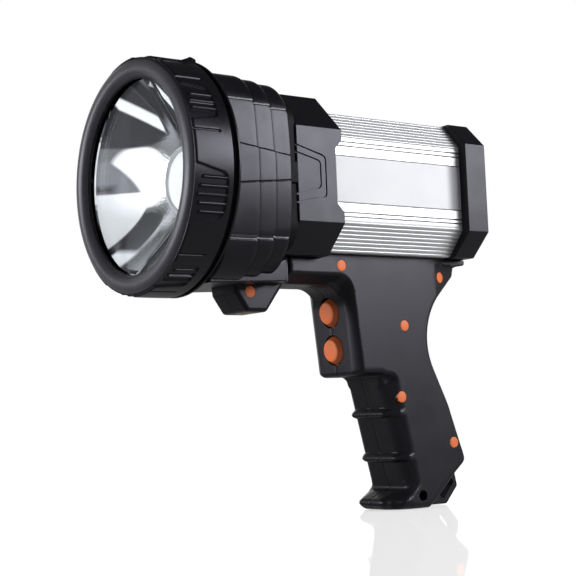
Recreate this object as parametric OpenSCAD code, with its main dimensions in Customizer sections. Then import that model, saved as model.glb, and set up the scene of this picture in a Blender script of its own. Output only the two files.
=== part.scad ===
// Handheld searchlight with a pistol grip: round head, octagonal collar, ribbed tube with side light panels.
// The beam points along -Y, +X is the side with the screw plugs, and the grip's foot stands on Z = 0.

/* [Bezel] */
// Diameter of the gripping band
bezel_d = 119; // [112:1:126]
// Setback of the band behind the front of the lip
lip_len = 2.4; // [1.5:0.1:4]
// Length of the gripping band
band_len = 21.2; // [20:0.2:26]
// Radius of the opening inside the lip
opening_r = 48.5; // [46:0.5:50]
// Step from the rim of the lip out to the band
lip_step = 1.6; // [1.2:0.1:2.8]
// Wall of the band around the neck
bezel_wall = 2.2; // [1.8:0.1:3]
// Depth of the gripping pockets
pocket_depth = 1; // [0.5:0.1:1.4]
// Height of the index nub above the band
nub_h = 2.6; // [1.5:0.1:4]
// Width of the index nub
nub_w = 5; // [3:0.5:8]

/* [Optics] */
// Thickness of the front lens
lens_t = 2; // [1.5:0.1:3]
// Section diameter of the lens seal
seal_d = 1.6; // [1.2:0.1:2]
// Thickness of the reflector's rim
rim_t = 2.2; // [1.5:0.1:3]
// Wall of the reflector
reflector_wall = 1.4; // [1:0.1:2]
// Depth of the reflector from its rim to its throat
reflector_depth = 23.5; // [20:0.5:28]
// Outer radius of the white ring around the emitter
led_ring_r = 17.4; // [15:0.2:20]
// Width of that ring
led_ring_w = 1.6; // [1:0.1:3]
// Thickness of the LED board
led_board_t = 1.6; // [1:0.1:2.5]
// Length of the heat sink
sink_len = 20; // [14:1:22]
// Thickness of the heat sink's plate and fins
fin_t = 2; // [1.5:0.1:2.5]

/* [Head shell] */
// Gap between the band and the shell's flange
band_gap = 2.4; // [1.5:0.1:3]
// Thickness of the shell's flange
flange_t = 1.5; // [1:0.1:2.5]
// Length of the first stepped ring
ring_1_len = 18; // [16:0.5:22]
// Length of the second and third stepped rings
ring_len = 10.25; // [8:0.25:13]
// Half width of the first ring
shell_half_w = 47; // [45:0.5:48]
// Height of the first ring above the axis
shell_half_h = 48.5; // [46:0.5:49]
// Drop of the first ring below the axis
shell_drop = 53.5; // [51:0.5:55]
// Step inwards from ring to ring at the sides
ring_step = 0.6; // [0.3:0.1:1]
// Step inwards from ring to ring on top
ring_drop = 1.2; // [0.8:0.1:1.8]
// Step inwards from ring to ring below
ring_lift = 1.7; // [1:0.1:2]
// Radius of the rings' upper corners
shell_corner = 20; // [18:0.5:22]
// Radius of the rings' lower corners
shell_low_corner = 26; // [22:0.5:28]
// Wall of the shell
shell_wall = 2.4; // [2:0.1:3]
// Length of the dark neck between the rings and the collar
neck_len = 6.4; // [5:0.2:9]

/* [Collar, tube and cap] */
// Length of the collar
collar_len = 29.2; // [26:0.2:34]
// Side wall of the collar beside the tube
collar_wall = 6; // [5:0.5:8]
// Wall of the collar above the tube
collar_top_wall = 8.2; // [7.5:0.1:10]
// Half height of the collar's side flats
collar_flat = 24.2; // [22:0.2:26]
// Wall of the collar below the tube
collar_floor = 2.7; // [2:0.1:4.5]
// Depth of the notch in the collar's rear edge
notch_depth = 4.5; // [3:0.1:7]
// Length of the tube that shows between the collar and the cap
tube_len = 85.7; // [82:0.5:100]
// Half width of the tube
tube_half_w = 36; // [35:0.2:37]
// Half height of the tube
tube_half_h = 36.5; // [36:0.1:37]
// Width of the chamfer at the tube's corners
tube_chamfer_w = 12.5; // [11:0.5:14]
// Height of the chamfer at the tube's corners
tube_chamfer_h = 15; // [13:0.5:17]
// Number of ribs on each chamfer
rib_count = 8; // [5:1:10]
// Height of the ribs
rib_h = 0.9; // [0.5:0.1:1.2]
// Half height of the light panels
panel_half_h = 12.1; // [10:0.1:14]
// Thickness of the light panels
panel_t = 2.2; // [1.5:0.1:2.6]
// Length of the rear cap
cap_len = 14.7; // [13:0.1:20]
// Side wall of the rear cap beside the tube
cap_wall = 5.7; // [5:0.1:7]
// Wall of the rear cap above and below the tube
cap_rise = 0.7; // [0.6:0.1:2]
// Chamfer of the rear cap's corners
cap_chamfer = 13; // [11:0.5:15]

/* [Battery and charging] */
// Diameter of a cell
cell_d = 18.4; // [18:0.1:21]
// Length of a cell
cell_len = 65; // [60:0.5:68]
// Width of the charging port's flap
flap_w = 17; // [15:0.5:20]
// Height of the charging port's flap
flap_h = 11; // [9:0.5:13]
// Thickness of the charging port's flap
flap_t = 2; // [1.5:0.1:2.5]

/* [Grip] */
// Height of the lamp's axis above the foot
axis_h = 172.5; // [166:0.5:185]
// Half width of the grip's side plates
grip_half_w = 19.5; // [18.5:0.5:22]
// Half width of the grip's core, with the button panel and the finger front
core_half_w = 13.2; // [12.4:0.2:14.5]
// Wall of the grip
grip_wall = 2.5; // [2:0.1:3]
// Drop of the arm's underside below the axis
arm_drop = 52.5; // [51:0.5:55]
// Distance from the front of the lip to the front of the grip's arm
arm_s = 82; // [80:0.5:86]
// Distance from the front of the lip to the button panel's top
panel_s = 120.6; // [119:0.2:123]
// Radius of the curve between the arm and the button panel
guard_r = 8.5; // [6:0.5:11]
// Height of the button panel below that curve
button_panel_h = 39.5; // [37:0.5:42]
// Lean of the button panel from its top to its bottom
panel_lean = 3.6; // [2:0.2:5]
// Depth of the step under the button panel
shelf_depth = 16.2; // [14:0.2:19]
// Lean of the finger front from the step to the foot
finger_lean = 16.6; // [14:0.2:18]
// Reach of the foot's lip in front of the finger front
foot_lip = 14; // [10:0.5:17]
// Radius of the finger ribs
finger_rib_r = 3.3; // [2.5:0.1:4]
// Reach of the lanyard loop behind the cap
loop_reach = 2; // [1:0.5:6]
// Width of the lanyard slot
slot_w = 6.6; // [6.4:0.1:7]
// Length of the lanyard slot
slot_len = 14; // [12:0.5:15]
// Half thickness of the lanyard loop
loop_half_t = 3.5; // [2.5:0.5:5]

/* [Buttons] */
// Diameter of the buttons
button_d = 15; // [13:0.5:16]
// Gap round a button
button_gap = 0.3; // [0.2:0.05:0.5]
// Drop of the upper button's centre below the panel's top
button_drop = 5.2; // [5:0.2:7]
// Distance between the buttons
button_pitch = 20.2; // [19:0.2:22]
// Travel of the buttons
button_travel = 1.5; // [1:0.1:2]
// Height of a button's dome above the panel
dome_h = 2; // [1.5:0.1:3]

/* [Lug and fasteners] */
// Half width of the saddle under the head
saddle_half_w = 28; // [26:0.5:30]
// Half width of the bridge from the saddle to the grip's arm
bridge_half_w = 18.5; // [16:0.5:20]
// Half width of the lug
lug_half_w = 12; // [11:0.5:14]
// Drop of the lug's underside below the axis
lug_drop = 67; // [66:0.5:70]
// Radius of the tripod thread
tripod_r = 3.175; // [2.5:0.025:3.5]
// Depth of the tripod socket
tripod_depth = 7.5; // [6:0.5:8]
// Radius of the screws
screw_r = 1.5; // [1.25:0.05:1.6]
// Radius of the screw heads
head_r = 2.6; // [2.2:0.1:2.7]
// Radius of the orange screw plugs
plug_r = 3; // [2.8:0.1:3.4]
// Depth of the orange screw plugs
plug_t = 2; // [1.5:0.1:2.5]
// Clearance of parts that slip together
slip = 0.1; // [0.05:0.05:0.2]

/* [Hidden] */
$fn = 96;

// Colours
black_plastic = "#2b2b2f";
grip_plastic = "#4a4a50";
orange_plastic = "#dd7a4b";
aluminium = "#c9cacc";
steel = "#8d9094";
board_green = "#2f6b4f";
white_plastic = "#e9eaee";

// Stations along the axis, counted from the front of the lip
bezel_len = lip_len + band_len;
flange_s = bezel_len + band_gap;
ring_1_s = flange_s + flange_t;
ring_2_s = ring_1_s + ring_1_len;
ring_3_s = ring_2_s + ring_len;
neck_s = ring_3_s + ring_len;
collar_s = neck_s + neck_len;
collar_end = collar_s + collar_len;
cap_s = collar_end + tube_len;
cap_end = cap_s + cap_len;
total_len = cap_end + loop_reach;
mid_s = total_len / 2;
bezel_r = bezel_d / 2;
collar_half_w = tube_half_w + collar_wall;
collar_half_h = tube_half_h + collar_top_wall;
collar_drop = tube_half_h + collar_floor;
cap_half_w = tube_half_w + cap_wall;
cap_half_h = tube_half_h + cap_rise;

// Outlines: a corner list holds [station or x, height, corner radius]
function unit(v) = v / norm(v);
function turn(a) = a > 180 ? a - 360 : (a < -180 ? a + 360 : a);
function flat2(p) = [p[0], p[1]];
function fillet(a, b, c, r, n) = let (u = unit(a - b), w = unit(c - b), half = acos(u * w) / 2,
    p = b + u * r / tan(half), q = b + w * r / tan(half), m = b + unit(u + w) * r / sin(half),
    a0 = atan2(p[1] - m[1], p[0] - m[0]), a1 = atan2(q[1] - m[1], q[0] - m[0]))
    [for (i = [0:n]) m + r * [cos(a0 + turn(a1 - a0) * i / n), sin(a0 + turn(a1 - a0) * i / n)]];
function rounded(pts, n = 8) = let (k = len(pts)) [for (i = [0:k - 1])
    each pts[i][2] == 0 ? [flat2(pts[i])]
        : fillet(flat2(pts[(i + k - 1) % k]), flat2(pts[i]), flat2(pts[(i + 1) % k]), pts[i][2], n)];

module rounded_box(half_w, half_h, r) polygon(rounded([[half_w, half_h, r], [-half_w, half_h, r],
    [-half_w, -half_h, r], [half_w, -half_h, r]]));
module octagon(half_w, half_h, cw, ch) polygon([[half_w, half_h - ch], [half_w - cw, half_h],
    [cw - half_w, half_h], [-half_w, half_h - ch], [-half_w, ch - half_h], [cw - half_w, -half_h],
    [half_w - cw, -half_h], [half_w, ch - half_h]]);

// A section across the axis, run from one station to the next
module section_run(s0, s1) translate([0, s1 - mid_s, axis_h]) rotate([90, 0, 0])
    linear_extrude(s1 - s0) children();
// A profile of radius and station, turned round the axis
module turned() translate([0, -mid_s, axis_h]) rotate([-90, 0, 0]) rotate_extrude() children();
// A side view of station and height, run from one X to another
module side_run(x0, x1) translate([x0, -mid_s, 0]) rotate([90, 0, 90]) linear_extrude(x1 - x0) children();
// A rod across the grip at a station and height
module rod_x(x0, x1, p, r) translate([x0, p[0] - mid_s, p[1]]) rotate([0, 90, 0]) cylinder(h = x1 - x0, r = r);
// A rod along the axis, off it by x and z
module rod_y(s0, s1, p, r) translate([p[0], s0 - mid_s, axis_h + p[1]]) rotate([-90, 0, 0])
    cylinder(h = s1 - s0, r = r);
// A block along the axis, with its middle off the axis by x and z
module block_y(s0, s1, p, w, h) translate([p[0] - w / 2, s0 - mid_s, axis_h + p[1] - h / 2])
    cube([w, s1 - s0, h]);
module both_sides() { children(); mirror([1, 0, 0]) children(); }
module four_corners(p) for (x = [-1, 1], z = [-1, 1]) translate([x * p[0], 0, z * p[1]]) children();

// Bezel and optics
ledge_s = lip_len + 2.6;
lens_s = ledge_s + seal_d;
rim_s = lens_s + lens_t;
shoulder_s = rim_s + rim_t;
seat_r = opening_r + 3.6;
rim_r = opening_r + 0.5;
rim_front = 1;
throat_s = rim_s + rim_front + reflector_depth;
throat_r = led_ring_r + slip;
throat_land = 1.5;
board_s = throat_s + throat_land;
board_r = throat_r + reflector_wall + 3;
sink_s = board_s + led_board_t;
neck_r = bezel_r - bezel_wall - 0.3;
groove_w = 0.4;
band_nose_r = lip_step - groove_w;
pocket_count = 4;
wide_pocket_angle = -16.9;
narrow_pocket_angle = 28.1;
groove_angle = 15.25;
nub_angle = 63;

module at_angle(a) translate([0, -mid_s, axis_h]) rotate([0, -a, 0]) children();

// Broad rolled lip, narrow groove, band with a rounded nose, and the seats of the seal, lens and neck
module bezel_profile() {
    lip_rim = bezel_r - lip_step;
    lip_mid = (opening_r + lip_rim) / 2;
    lip_half = lip_rim - lip_mid;
    groove_s = lip_len + 0.8;
    inner_tail = ledge_s - 0.6;
    outer_tail = groove_s - 0.4;
    polygon(concat(
        [[opening_r, ledge_s]],
        [for (a = [180:-15:90]) [lip_mid + lip_half * cos(a), inner_tail - inner_tail * sin(a)]],
        [for (a = [75:-15:0]) [lip_mid + lip_half * cos(a), outer_tail - outer_tail * sin(a)]],
        [[lip_rim, groove_s], [lip_rim + groove_w, groove_s]],
        [for (a = [90:-18:0]) [bezel_r - band_nose_r + band_nose_r * cos(a),
                               lip_len + band_nose_r - band_nose_r * sin(a)]],
        [[bezel_r, bezel_len - 0.6], [bezel_r - 0.6, bezel_len], [bezel_r - bezel_wall, bezel_len],
         [bezel_r - bezel_wall, shoulder_s], [seat_r, shoulder_s], [seat_r, ledge_s]]));
}

// A pocket in the band, open to the front and narrower at its rear, cut to an even depth
module pocket(angle, size) at_angle(angle) difference() {
    rear_s = lip_len + size[2];
    rotate([0, 90, 0]) linear_extrude(bezel_r + 1) polygon(rounded([
        [size[0], lip_len - 1, 0], [size[1], rear_s, size[3]],
        [-size[1], rear_s, size[3]], [-size[0], lip_len - 1, 0]]));
    rotate([-90, 0, 0]) cylinder(h = bezel_len, r = bezel_r - pocket_depth);
}

// Half widths of a pocket at its front and rear, its length and the radius of its rear corners
wide_pocket = [15, 10.5, band_len - 3.2, 3];
narrow_pocket = [11, 8.3, band_len - 5.6, 2.5];
side_groove = [0.8, 0.8, band_len - 6.1, 0.6];
nub_len = 7.5;

module bezel_ring() color(black_plastic) {
    difference() {
        turned() bezel_profile();
        for (i = [0:pocket_count - 1]) {
            step = i * 360 / pocket_count;
            pocket(wide_pocket_angle + step, wide_pocket);
            pocket(narrow_pocket_angle + step, narrow_pocket);
            for (side = [-1, 1]) pocket(narrow_pocket_angle + side * groove_angle + step, side_groove);
        }
    }
    at_angle(nub_angle) linear_extrude(nub_w, center = true) polygon([
        [bezel_r - 0.5, bezel_len - nub_len], [bezel_r, bezel_len - nub_len], [bezel_r + nub_h, bezel_len - 1.8],
        [bezel_r + nub_h, bezel_len - 0.8], [bezel_r - 0.5, bezel_len - 0.6]]);
}

module lens_seal() color("#3a3a3d") turned()
    translate([seat_r - slip - seal_d / 2, ledge_s + seal_d / 2]) circle(d = seal_d);

module front_lens() color("#dfe8ee") turned() translate([0, lens_s]) square([seat_r - slip, lens_t]);

// Bowl of the reflector, a paraboloid from its rim to its throat
function bowl_r(t) = sqrt(rim_r * rim_r + (throat_r * throat_r - rim_r * rim_r) * t);
module reflector() color("#d8dade") turned() polygon(concat(
    [[rim_r, rim_s]],
    [for (i = [0:12]) [bowl_r(i / 12), rim_s + rim_front + reflector_depth * i / 12]],
    [[throat_r, board_s], [throat_r + reflector_wall, board_s]],
    [for (i = [12:-1:1]) [bowl_r(i / 12) + reflector_wall, rim_s + rim_front + reflector_depth * i / 12]],
    [[rim_r + reflector_wall - 0.6, shoulder_s], [seat_r - slip, shoulder_s], [seat_r - slip, rim_s]]));

module led_ring() color(white_plastic) turned()
    translate([led_ring_r - led_ring_w, throat_s - 1]) square([led_ring_w, board_s - throat_s + 1]);

module led_emitter() color("#f2f0e4") turned() {
    r = led_ring_r - led_ring_w - slip;
    polygon(concat([[0, board_s], [r, board_s], [r, throat_s]],
                   [for (a = [0:15:90]) [r * cos(a), throat_s - 1.2 * sin(a)]]));
}

module led_board() color(board_green) turned() translate([0, board_s]) square([board_r, led_board_t]);

// Heat sink: a plate that fills the shell, with a core and fins behind it
sink_boss = [28.5, 28];
sink_boss_r = 4;
hollow_w = shell_half_w - 2 * ring_step - shell_wall;
hollow_h = shell_half_h - 2 * ring_drop - shell_wall;
hollow_corner = shell_corner - shell_wall;
sink_core_r = 16;
fin_count = 12;
fin_reach = 30;

module heat_sink() color(aluminium) difference() {
    union() {
        section_run(sink_s, sink_s + fin_t) rounded_box(hollow_w - slip, hollow_h - slip, hollow_corner);
        rod_y(sink_s, sink_s + sink_len, [0, 0], sink_core_r);
        for (i = [0:fin_count - 1]) translate([0, sink_s - mid_s, axis_h]) rotate([0, i * 360 / fin_count, 0])
            translate([0, 0, -fin_t / 2]) cube([fin_reach, sink_len, fin_t]);
    }
    four_corners(sink_boss) rod_y(sink_s - 1, sink_s + sink_len, [0, 0], screw_r + slip);
}

screw_len = 8;
head_t = 2;
module sink_screws() color(steel) four_corners(sink_boss) {
    rod_y(sink_s - head_t, sink_s, [0, 0], head_r);
    rod_y(sink_s, sink_s + screw_len, [0, 0], screw_r);
}

// Head shell: round neck and flange, three stepped rings, and a squarer neck that meets the collar
neck_half_w = collar_half_w - 2;
neck_half_h = collar_drop - 1.4;
neck_corner = 12;
module ring_section(i) {
    half_w = shell_half_w - i * ring_step;
    top = shell_half_h - i * ring_drop;
    low = i * ring_lift - shell_drop;
    polygon(rounded([[half_w, top, shell_corner], [-half_w, top, shell_corner],
                     [-half_w, low, shell_low_corner], [half_w, low, shell_low_corner]]));
}
module shell_body() {
    turned() polygon([[0, shoulder_s], [neck_r, shoulder_s], [neck_r, flange_s], [bezel_r, flange_s],
                      [bezel_r, ring_1_s], [0, ring_1_s]]);
    section_run(ring_1_s, ring_2_s) ring_section(0);
    section_run(ring_2_s, ring_3_s) ring_section(1);
    section_run(ring_3_s, neck_s) ring_section(2);
    section_run(neck_s, collar_s) rounded_box(neck_half_w, neck_half_h, neck_corner);
    both_sides() block_y(neck_s, collar_s, [neck_half_w, 0], 4, 11);
}
module head_shell() color(black_plastic) difference() {
    hollow_s = sink_s;
    union() {
        difference() {
            shell_body();
            turned() translate([0, shoulder_s + 2]) square([neck_r - shell_wall, flange_s - shoulder_s - 2]);
            turned() translate([0, shoulder_s - 1]) square([rim_r + 1, 6]);
            turned() translate([0, flange_s - 1]) square([hollow_w, hollow_s - flange_s + 1]);
            section_run(hollow_s, neck_s - shell_wall) rounded_box(hollow_w, hollow_h, hollow_corner);
            section_run(neck_s - shell_wall - 1, collar_s + 1) rounded_box(neck_half_w - 12, neck_half_h - 12, 6);
        }
        four_corners(sink_boss) rod_y(sink_s + fin_t, neck_s - shell_wall, [0, 0], sink_boss_r);
    }
    four_corners(sink_boss) rod_y(sink_s, sink_s + screw_len + 1, [0, 0], screw_r + slip / 2);
}

// Saddle, bridge and lug under the head, in two halves that meet at X = 0
saddle_low = axis_h - shell_drop - 1;
saddle_s = ring_1_s + 2;
saddle_end = collar_s + 1.1;
saddle_drop = arm_drop;
lug_mid_s = 66;
lug_screw = [lug_mid_s - 4.1, axis_h - lug_drop + 10.2];
lug_reach = 6;
function lug_outline() = [[arm_s, axis_h - saddle_drop + 6, 0], [arm_s, axis_h - saddle_drop - 3, 0],
    [lug_mid_s + lug_reach, axis_h - lug_drop, 0], [lug_mid_s - lug_reach, axis_h - lug_drop, 0],
    [lug_mid_s - lug_reach - 7, axis_h - lug_drop + 8.5, 2],
    [lug_mid_s - lug_reach - 9, axis_h - saddle_drop + 6, 0]];
function bridge_outline() = [[arm_s, axis_h - collar_drop + 3, 0], [arm_s, axis_h - saddle_drop, 0],
    [ring_3_s, axis_h - saddle_drop, 0], [ring_3_s, axis_h - collar_drop + 3, 0]];
function saddle_outline() = [[saddle_end, saddle_low + 9.5, 0], [saddle_end, saddle_low + 1.6, 0],
    [saddle_s, saddle_low, 0], [saddle_s, saddle_low + 10, 0], [neck_s, saddle_low + 5.2, 0]];
module saddle_half() difference() {
    union() {
        side_run(0, saddle_half_w) polygon(rounded(saddle_outline()));
        side_run(0, bridge_half_w) polygon(rounded(bridge_outline()));
        side_run(0, lug_half_w) polygon(rounded(lug_outline()));
    }
    section_run(flange_s, ring_2_s) ring_section(0);
    section_run(flange_s, ring_3_s) ring_section(1);
    section_run(flange_s, neck_s) ring_section(2);
    section_run(flange_s, collar_end) rounded_box(neck_half_w, neck_half_h, neck_corner);
    section_run(collar_s, collar_end) collar_section();
    translate([0, lug_mid_s - mid_s, axis_h - lug_drop - 1]) cylinder(h = tripod_depth + 1, r = socket_r);
}
module saddle_right() color(black_plastic) difference() {
    saddle_half();
    screw_path(lug_screw, lug_half_w);
}
module saddle_left() color(black_plastic) difference() {
    mirror([1, 0, 0]) saddle_half();
    rod_x(-screw_bite - 1, 1, lug_screw, screw_r + slip / 2);
}

socket_r = 5;
module tripod_socket() color("#b08d4a") translate([0, lug_mid_s - mid_s, axis_h - lug_drop]) difference() {
    cylinder(h = tripod_depth, r = socket_r);
    translate([0, 0, -1]) cylinder(h = tripod_depth + 2, r = tripod_r);
}

// Collar: an octagon with a lower flat bottom, notched beside the light panels
tube_s = collar_s + collar_len / 2;
tube_end = cap_s + cap_len / 2 - 2;
notch_s = collar_end - notch_depth;
module collar_section() {
    top_x = collar_half_w - (collar_half_h - collar_flat);
    bottom_x = collar_half_w - (collar_drop - collar_flat);
    polygon([[collar_half_w, collar_flat], [top_x, collar_half_h], [-top_x, collar_half_h],
             [-collar_half_w, collar_flat], [-collar_half_w, -collar_flat], [-bottom_x, -collar_drop],
             [bottom_x, -collar_drop], [collar_half_w, -collar_flat]]);
}
// The chamfer's line, moved outwards by the ribs' height, seats the ribbed tube in the collar and the cap
chamfer_len = norm([tube_chamfer_w, tube_chamfer_h]);
seat_cw = tube_chamfer_w - rib_h * chamfer_len / tube_chamfer_h;
seat_ch = tube_chamfer_h - rib_h * chamfer_len / tube_chamfer_w;
module tube_seat() octagon(tube_half_w + slip, tube_half_h + slip, seat_cw, seat_ch);

module collar() color(black_plastic) difference() {
    section_run(collar_s, collar_end) collar_section();
    section_run(tube_s, collar_end + 1) tube_seat();
    section_run(collar_s - 1, tube_s + 1) rounded_box(neck_half_w - 8, neck_half_h - 8, 6);
    both_sides() side_run(tube_half_w - 1, collar_half_w + 1) polygon([
        [notch_s, axis_h - panel_half_h - 2.7], [notch_s, axis_h + panel_half_h + 2.7],
        [collar_end + 1, axis_h + panel_half_h + 6.5], [collar_end + 1, axis_h - panel_half_h - 6.5]]);
}

// Ribbed tube: an extruded section with a channel down each side for the light panel and its LED strip
channel_depth = 4.5;
channel_x = tube_half_w - channel_depth;
cavity_w = channel_x - 2.3;
cavity_h = tube_half_h - 3.5;
cavity_chamfer = 12;
cap_screw_at = [cavity_w - 3.6, cavity_h - 5];
function ribs(p, q, out) = [for (i = [0:rib_count - 1], k = [[0.2, 0], [0.35, 1], [0.75, 1], [0.9, 0]])
    p + (q - p) * (i + k[0]) / rib_count + out * rib_h * k[1]];
module tube_section() {
    a = [tube_half_w, tube_half_h - tube_chamfer_h];
    b = [tube_half_w - tube_chamfer_w, tube_half_h];
    out = unit([tube_chamfer_h, tube_chamfer_w]);
    quarter = concat([a], ribs(a, b, out), [b]);
    count = len(quarter);
    back = [for (i = [count - 1:-1:0]) quarter[i]];
    polygon(concat(quarter, [for (p = back) [-p[0], p[1]]], [for (p = quarter) -p], [for (p = back) [p[0], -p[1]]]));
}
wire_hole_s = 150;
wire_hole_r = 4;
module body_tube() color(aluminium) difference() {
    section_run(tube_s, tube_end) difference() {
        tube_section();
        octagon(cavity_w, cavity_h, cavity_chamfer, cavity_chamfer);
        for (side = [-1, 1]) translate([side * (channel_x + channel_depth), 0])
            square([2 * channel_depth, 2 * (panel_half_h + slip)], center = true);
    }
    four_corners(cap_screw_at) rod_y(tube_end - screw_len, tube_end + 1, [0, 0], screw_r + slip / 2);
    translate([0, wire_hole_s - mid_s, axis_h - tube_half_h - 1]) cylinder(h = 6, r = wire_hole_r);
}

panel_proud = 0.4;
panel_front = notch_s;
module light_panel_right() color(white_plastic)
    translate([tube_half_w + panel_proud - panel_t, panel_front - mid_s, axis_h - panel_half_h])
        cube([panel_t, cap_s - panel_front, 2 * panel_half_h]);
module light_panel_left() mirror([1, 0, 0]) light_panel_right();

strip_t = 1;
strip_half_h = 7;
strip_led = 3;
strip_led_count = 10;
module led_strip_right() color(board_green) {
    strip_len = cap_s - panel_front;
    translate([channel_x, panel_front - mid_s, axis_h - strip_half_h]) cube([strip_t, strip_len, 2 * strip_half_h]);
    for (i = [1:strip_led_count - 1])
        translate([channel_x, panel_front + strip_len * i / strip_led_count - strip_led / 2 - mid_s,
                   axis_h - strip_led / 2])
            cube([strip_t + 0.6, strip_led, strip_led]);
}
module led_strip_left() mirror([1, 0, 0]) led_strip_right();

// Cells in two by two, between holders that fit the tube, with the driver board on the rear one
cell_pitch = cell_d + 1;
cell_s = tube_s + 20;
cup_depth = 4;
holder_t = 7;
board_gap = 5;
holder_rear_s = cell_s + cell_len - cup_depth;
driver_s = holder_rear_s + holder_t + board_gap;
driver_t = 1.6;
post = [18, 22];
post_r = 2.5;
holder_wire_at = [0, -cell_pitch - wire_hole_r];
module cell_places() four_corners([cell_pitch / 2, cell_pitch / 2]) children();
module battery_cells() color("#3f7fae") cell_places() rod_y(cell_s, cell_s + cell_len, [0, 0], cell_d / 2);
module holder_plate(s) section_run(s, s + holder_t)
    octagon(cavity_w - slip, cavity_h - slip, cavity_chamfer, cavity_chamfer);
module cell_holder_front() color(black_plastic) difference() {
    holder_plate(cell_s + cup_depth - holder_t);
    cell_places() rod_y(cell_s, cell_s + cell_len, [0, 0], cell_d / 2 + slip);
    rod_y(cell_s - holder_t, cell_s + holder_t, holder_wire_at, wire_hole_r);
}
module cell_holder_rear() color(black_plastic) difference() {
    union() {
        holder_plate(holder_rear_s);
        four_corners(post) rod_y(holder_rear_s + holder_t, driver_s, [0, 0], post_r);
    }
    cell_places() rod_y(cell_s, cell_s + cell_len, [0, 0], cell_d / 2 + slip);
    rod_y(holder_rear_s - 1, driver_s, holder_wire_at, wire_hole_r);
}
module driver_board() color(board_green) {
    section_run(driver_s, driver_s + driver_t) octagon(cavity_w - 2, cavity_h - 2, cavity_chamfer, cavity_chamfer);
    coil = 12;
    chip = 8;
    block_y(driver_s + driver_t, driver_s + driver_t + coil / 4, [-coil, chip], coil, coil);
    block_y(driver_s + driver_t, driver_s + driver_t + chip / 4, [chip, chip], chip, chip);
    rod_y(driver_s + driver_t, driver_s + driver_t + chip / 2, [chip, -chip], chip / 2);
}

// Rear cap: an octagon that seats the tube on a gasket and holds the charging port under a flap
gasket_t = 1;
cap_floor = 3.2;
flap_gap = 0.3;
flap_at = [0, -12];
flap_top = flap_at[1] + flap_h / 2;
hinge_r = flap_t / 2;
socket_w = 9;
socket_h = 3.4;
socket_depth = 6.5;
module cap_octagon() octagon(cap_half_w, cap_half_h, cap_chamfer, cap_chamfer);
module rear_cap() color(black_plastic) difference() {
    section_run(cap_s, cap_end) cap_octagon();
    section_run(cap_s - 1, tube_end + gasket_t) tube_seat();
    section_run(cap_s, cap_end - cap_floor - flap_t) octagon(cavity_w, cavity_h, cavity_chamfer, cavity_chamfer);
    block_y(cap_end - flap_t - flap_gap, cap_end + 1, flap_at, flap_w + 2 * flap_gap, flap_h + 2 * flap_gap);
    block_y(cap_s, cap_end, flap_at, socket_w, socket_h);
    four_corners(cap_screw_at) rod_y(cap_s, cap_end + 1, [0, 0], screw_r + slip);
    four_corners(cap_screw_at) rod_y(cap_end - head_t, cap_end + 1, [0, 0], head_r + slip);
    for (i = [0:dot_count - 1]) rod_y(cap_s, cap_end + 1, dot_at(i), dot_r + slip / 2);
}
module cap_gasket() color("#3a3a3d") difference() {
    section_run(tube_end, tube_end + gasket_t) difference() {
        tube_seat();
        octagon(cavity_w, cavity_h, cavity_chamfer, cavity_chamfer);
    }
    four_corners(cap_screw_at) rod_y(tube_end - 1, tube_end + gasket_t + 1, [0, 0], screw_r + slip);
}
module cap_screws() color(steel) four_corners(cap_screw_at) {
    rod_y(cap_end - head_t, cap_end - 0.2, [0, 0], head_r);
    rod_y(tube_end - screw_len + 1, cap_end - head_t, [0, 0], screw_r);
}
module charge_socket() color(steel) difference() {
    block_y(cap_end - flap_t - flap_gap - socket_depth, cap_end - flap_t - flap_gap, flap_at, socket_w, socket_h);
    block_y(cap_end - flap_t - flap_gap - socket_depth + 1, cap_end, flap_at, socket_w - 0.8, socket_h - 0.8);
}
module port_cover() color("#37373b") {
    translate([-flap_w / 2, cap_end - flap_t - mid_s, axis_h + flap_top - flap_h])
        cube([flap_w, flap_t, flap_h - hinge_r]);
    rod_x(-flap_w / 2, flap_w / 2, [cap_end - hinge_r, axis_h + flap_top - hinge_r], hinge_r);
}
dot_count = 4;
dot_pitch = 6;
dot_r = 1.2;
function dot_at(i) = [(i - (dot_count - 1) / 2) * dot_pitch, 6];
module charge_indicator() color("#cfe8d2") for (i = [0:dot_count - 1])
    rod_y(cap_end - cap_floor - flap_t, cap_end + 0.2, dot_at(i), dot_r);

// Grip outlines: the core runs to the finger front, the wide side plates stop behind it
arm_z = axis_h - arm_drop;
panel_top = arm_z - guard_r;
shelf_z = panel_top - button_panel_h;
shelf_s = panel_s + panel_lean;
finger_s = shelf_s + shelf_depth;
foot_z = 10;
foot_s = finger_s + finger_lean;
heel_s = cap_end - 5.5;
heel_z = 23.5;
waist_s = cap_end - 30.5;
waist_drop = 82.5;
waist_z = axis_h - waist_drop;
tail_drop = cap_half_h + 3;
function grip_back() = [[arm_s, axis_h - collar_drop, 0], [collar_end, axis_h - collar_drop, 0],
    [collar_end, axis_h - tube_half_h, 0], [cap_s, axis_h - tube_half_h, 0],
    [cap_s, axis_h - cap_half_h, 0], [cap_end, axis_h - cap_half_h, 0], [cap_end, axis_h - tail_drop, 1],
    [heel_s + 0.9, axis_h - tail_drop, 0.5], [heel_s + 0.4, axis_h - tail_drop - 5.9, 2.5],
    [waist_s + 9.7, waist_z + 23.1, 10], [waist_s - 3.7, waist_z + 4.6, 36], [waist_s + 14.8, waist_z - 34, 60],
    [heel_s + 0.8, heel_z + 0.9, 4], [heel_s - 22.5, 2.8, 3], [heel_s - 26.5, 0, 2]];
function core_outline() = concat(grip_back(), [
    [foot_s - foot_lip + 2, 0, 2], [foot_s - foot_lip - 1.5, 4.6, 2], [foot_s - 5, foot_z - 0.8, 3],
    [foot_s, foot_z, 2], [finger_s, shelf_z, 1.5], [shelf_s, shelf_z, 2.5], [panel_s, panel_top, 3],
    [panel_s - 0.8, arm_z, guard_r - 0.8], [arm_s, arm_z, 0]]);
plate_lip = 5.5;
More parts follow.
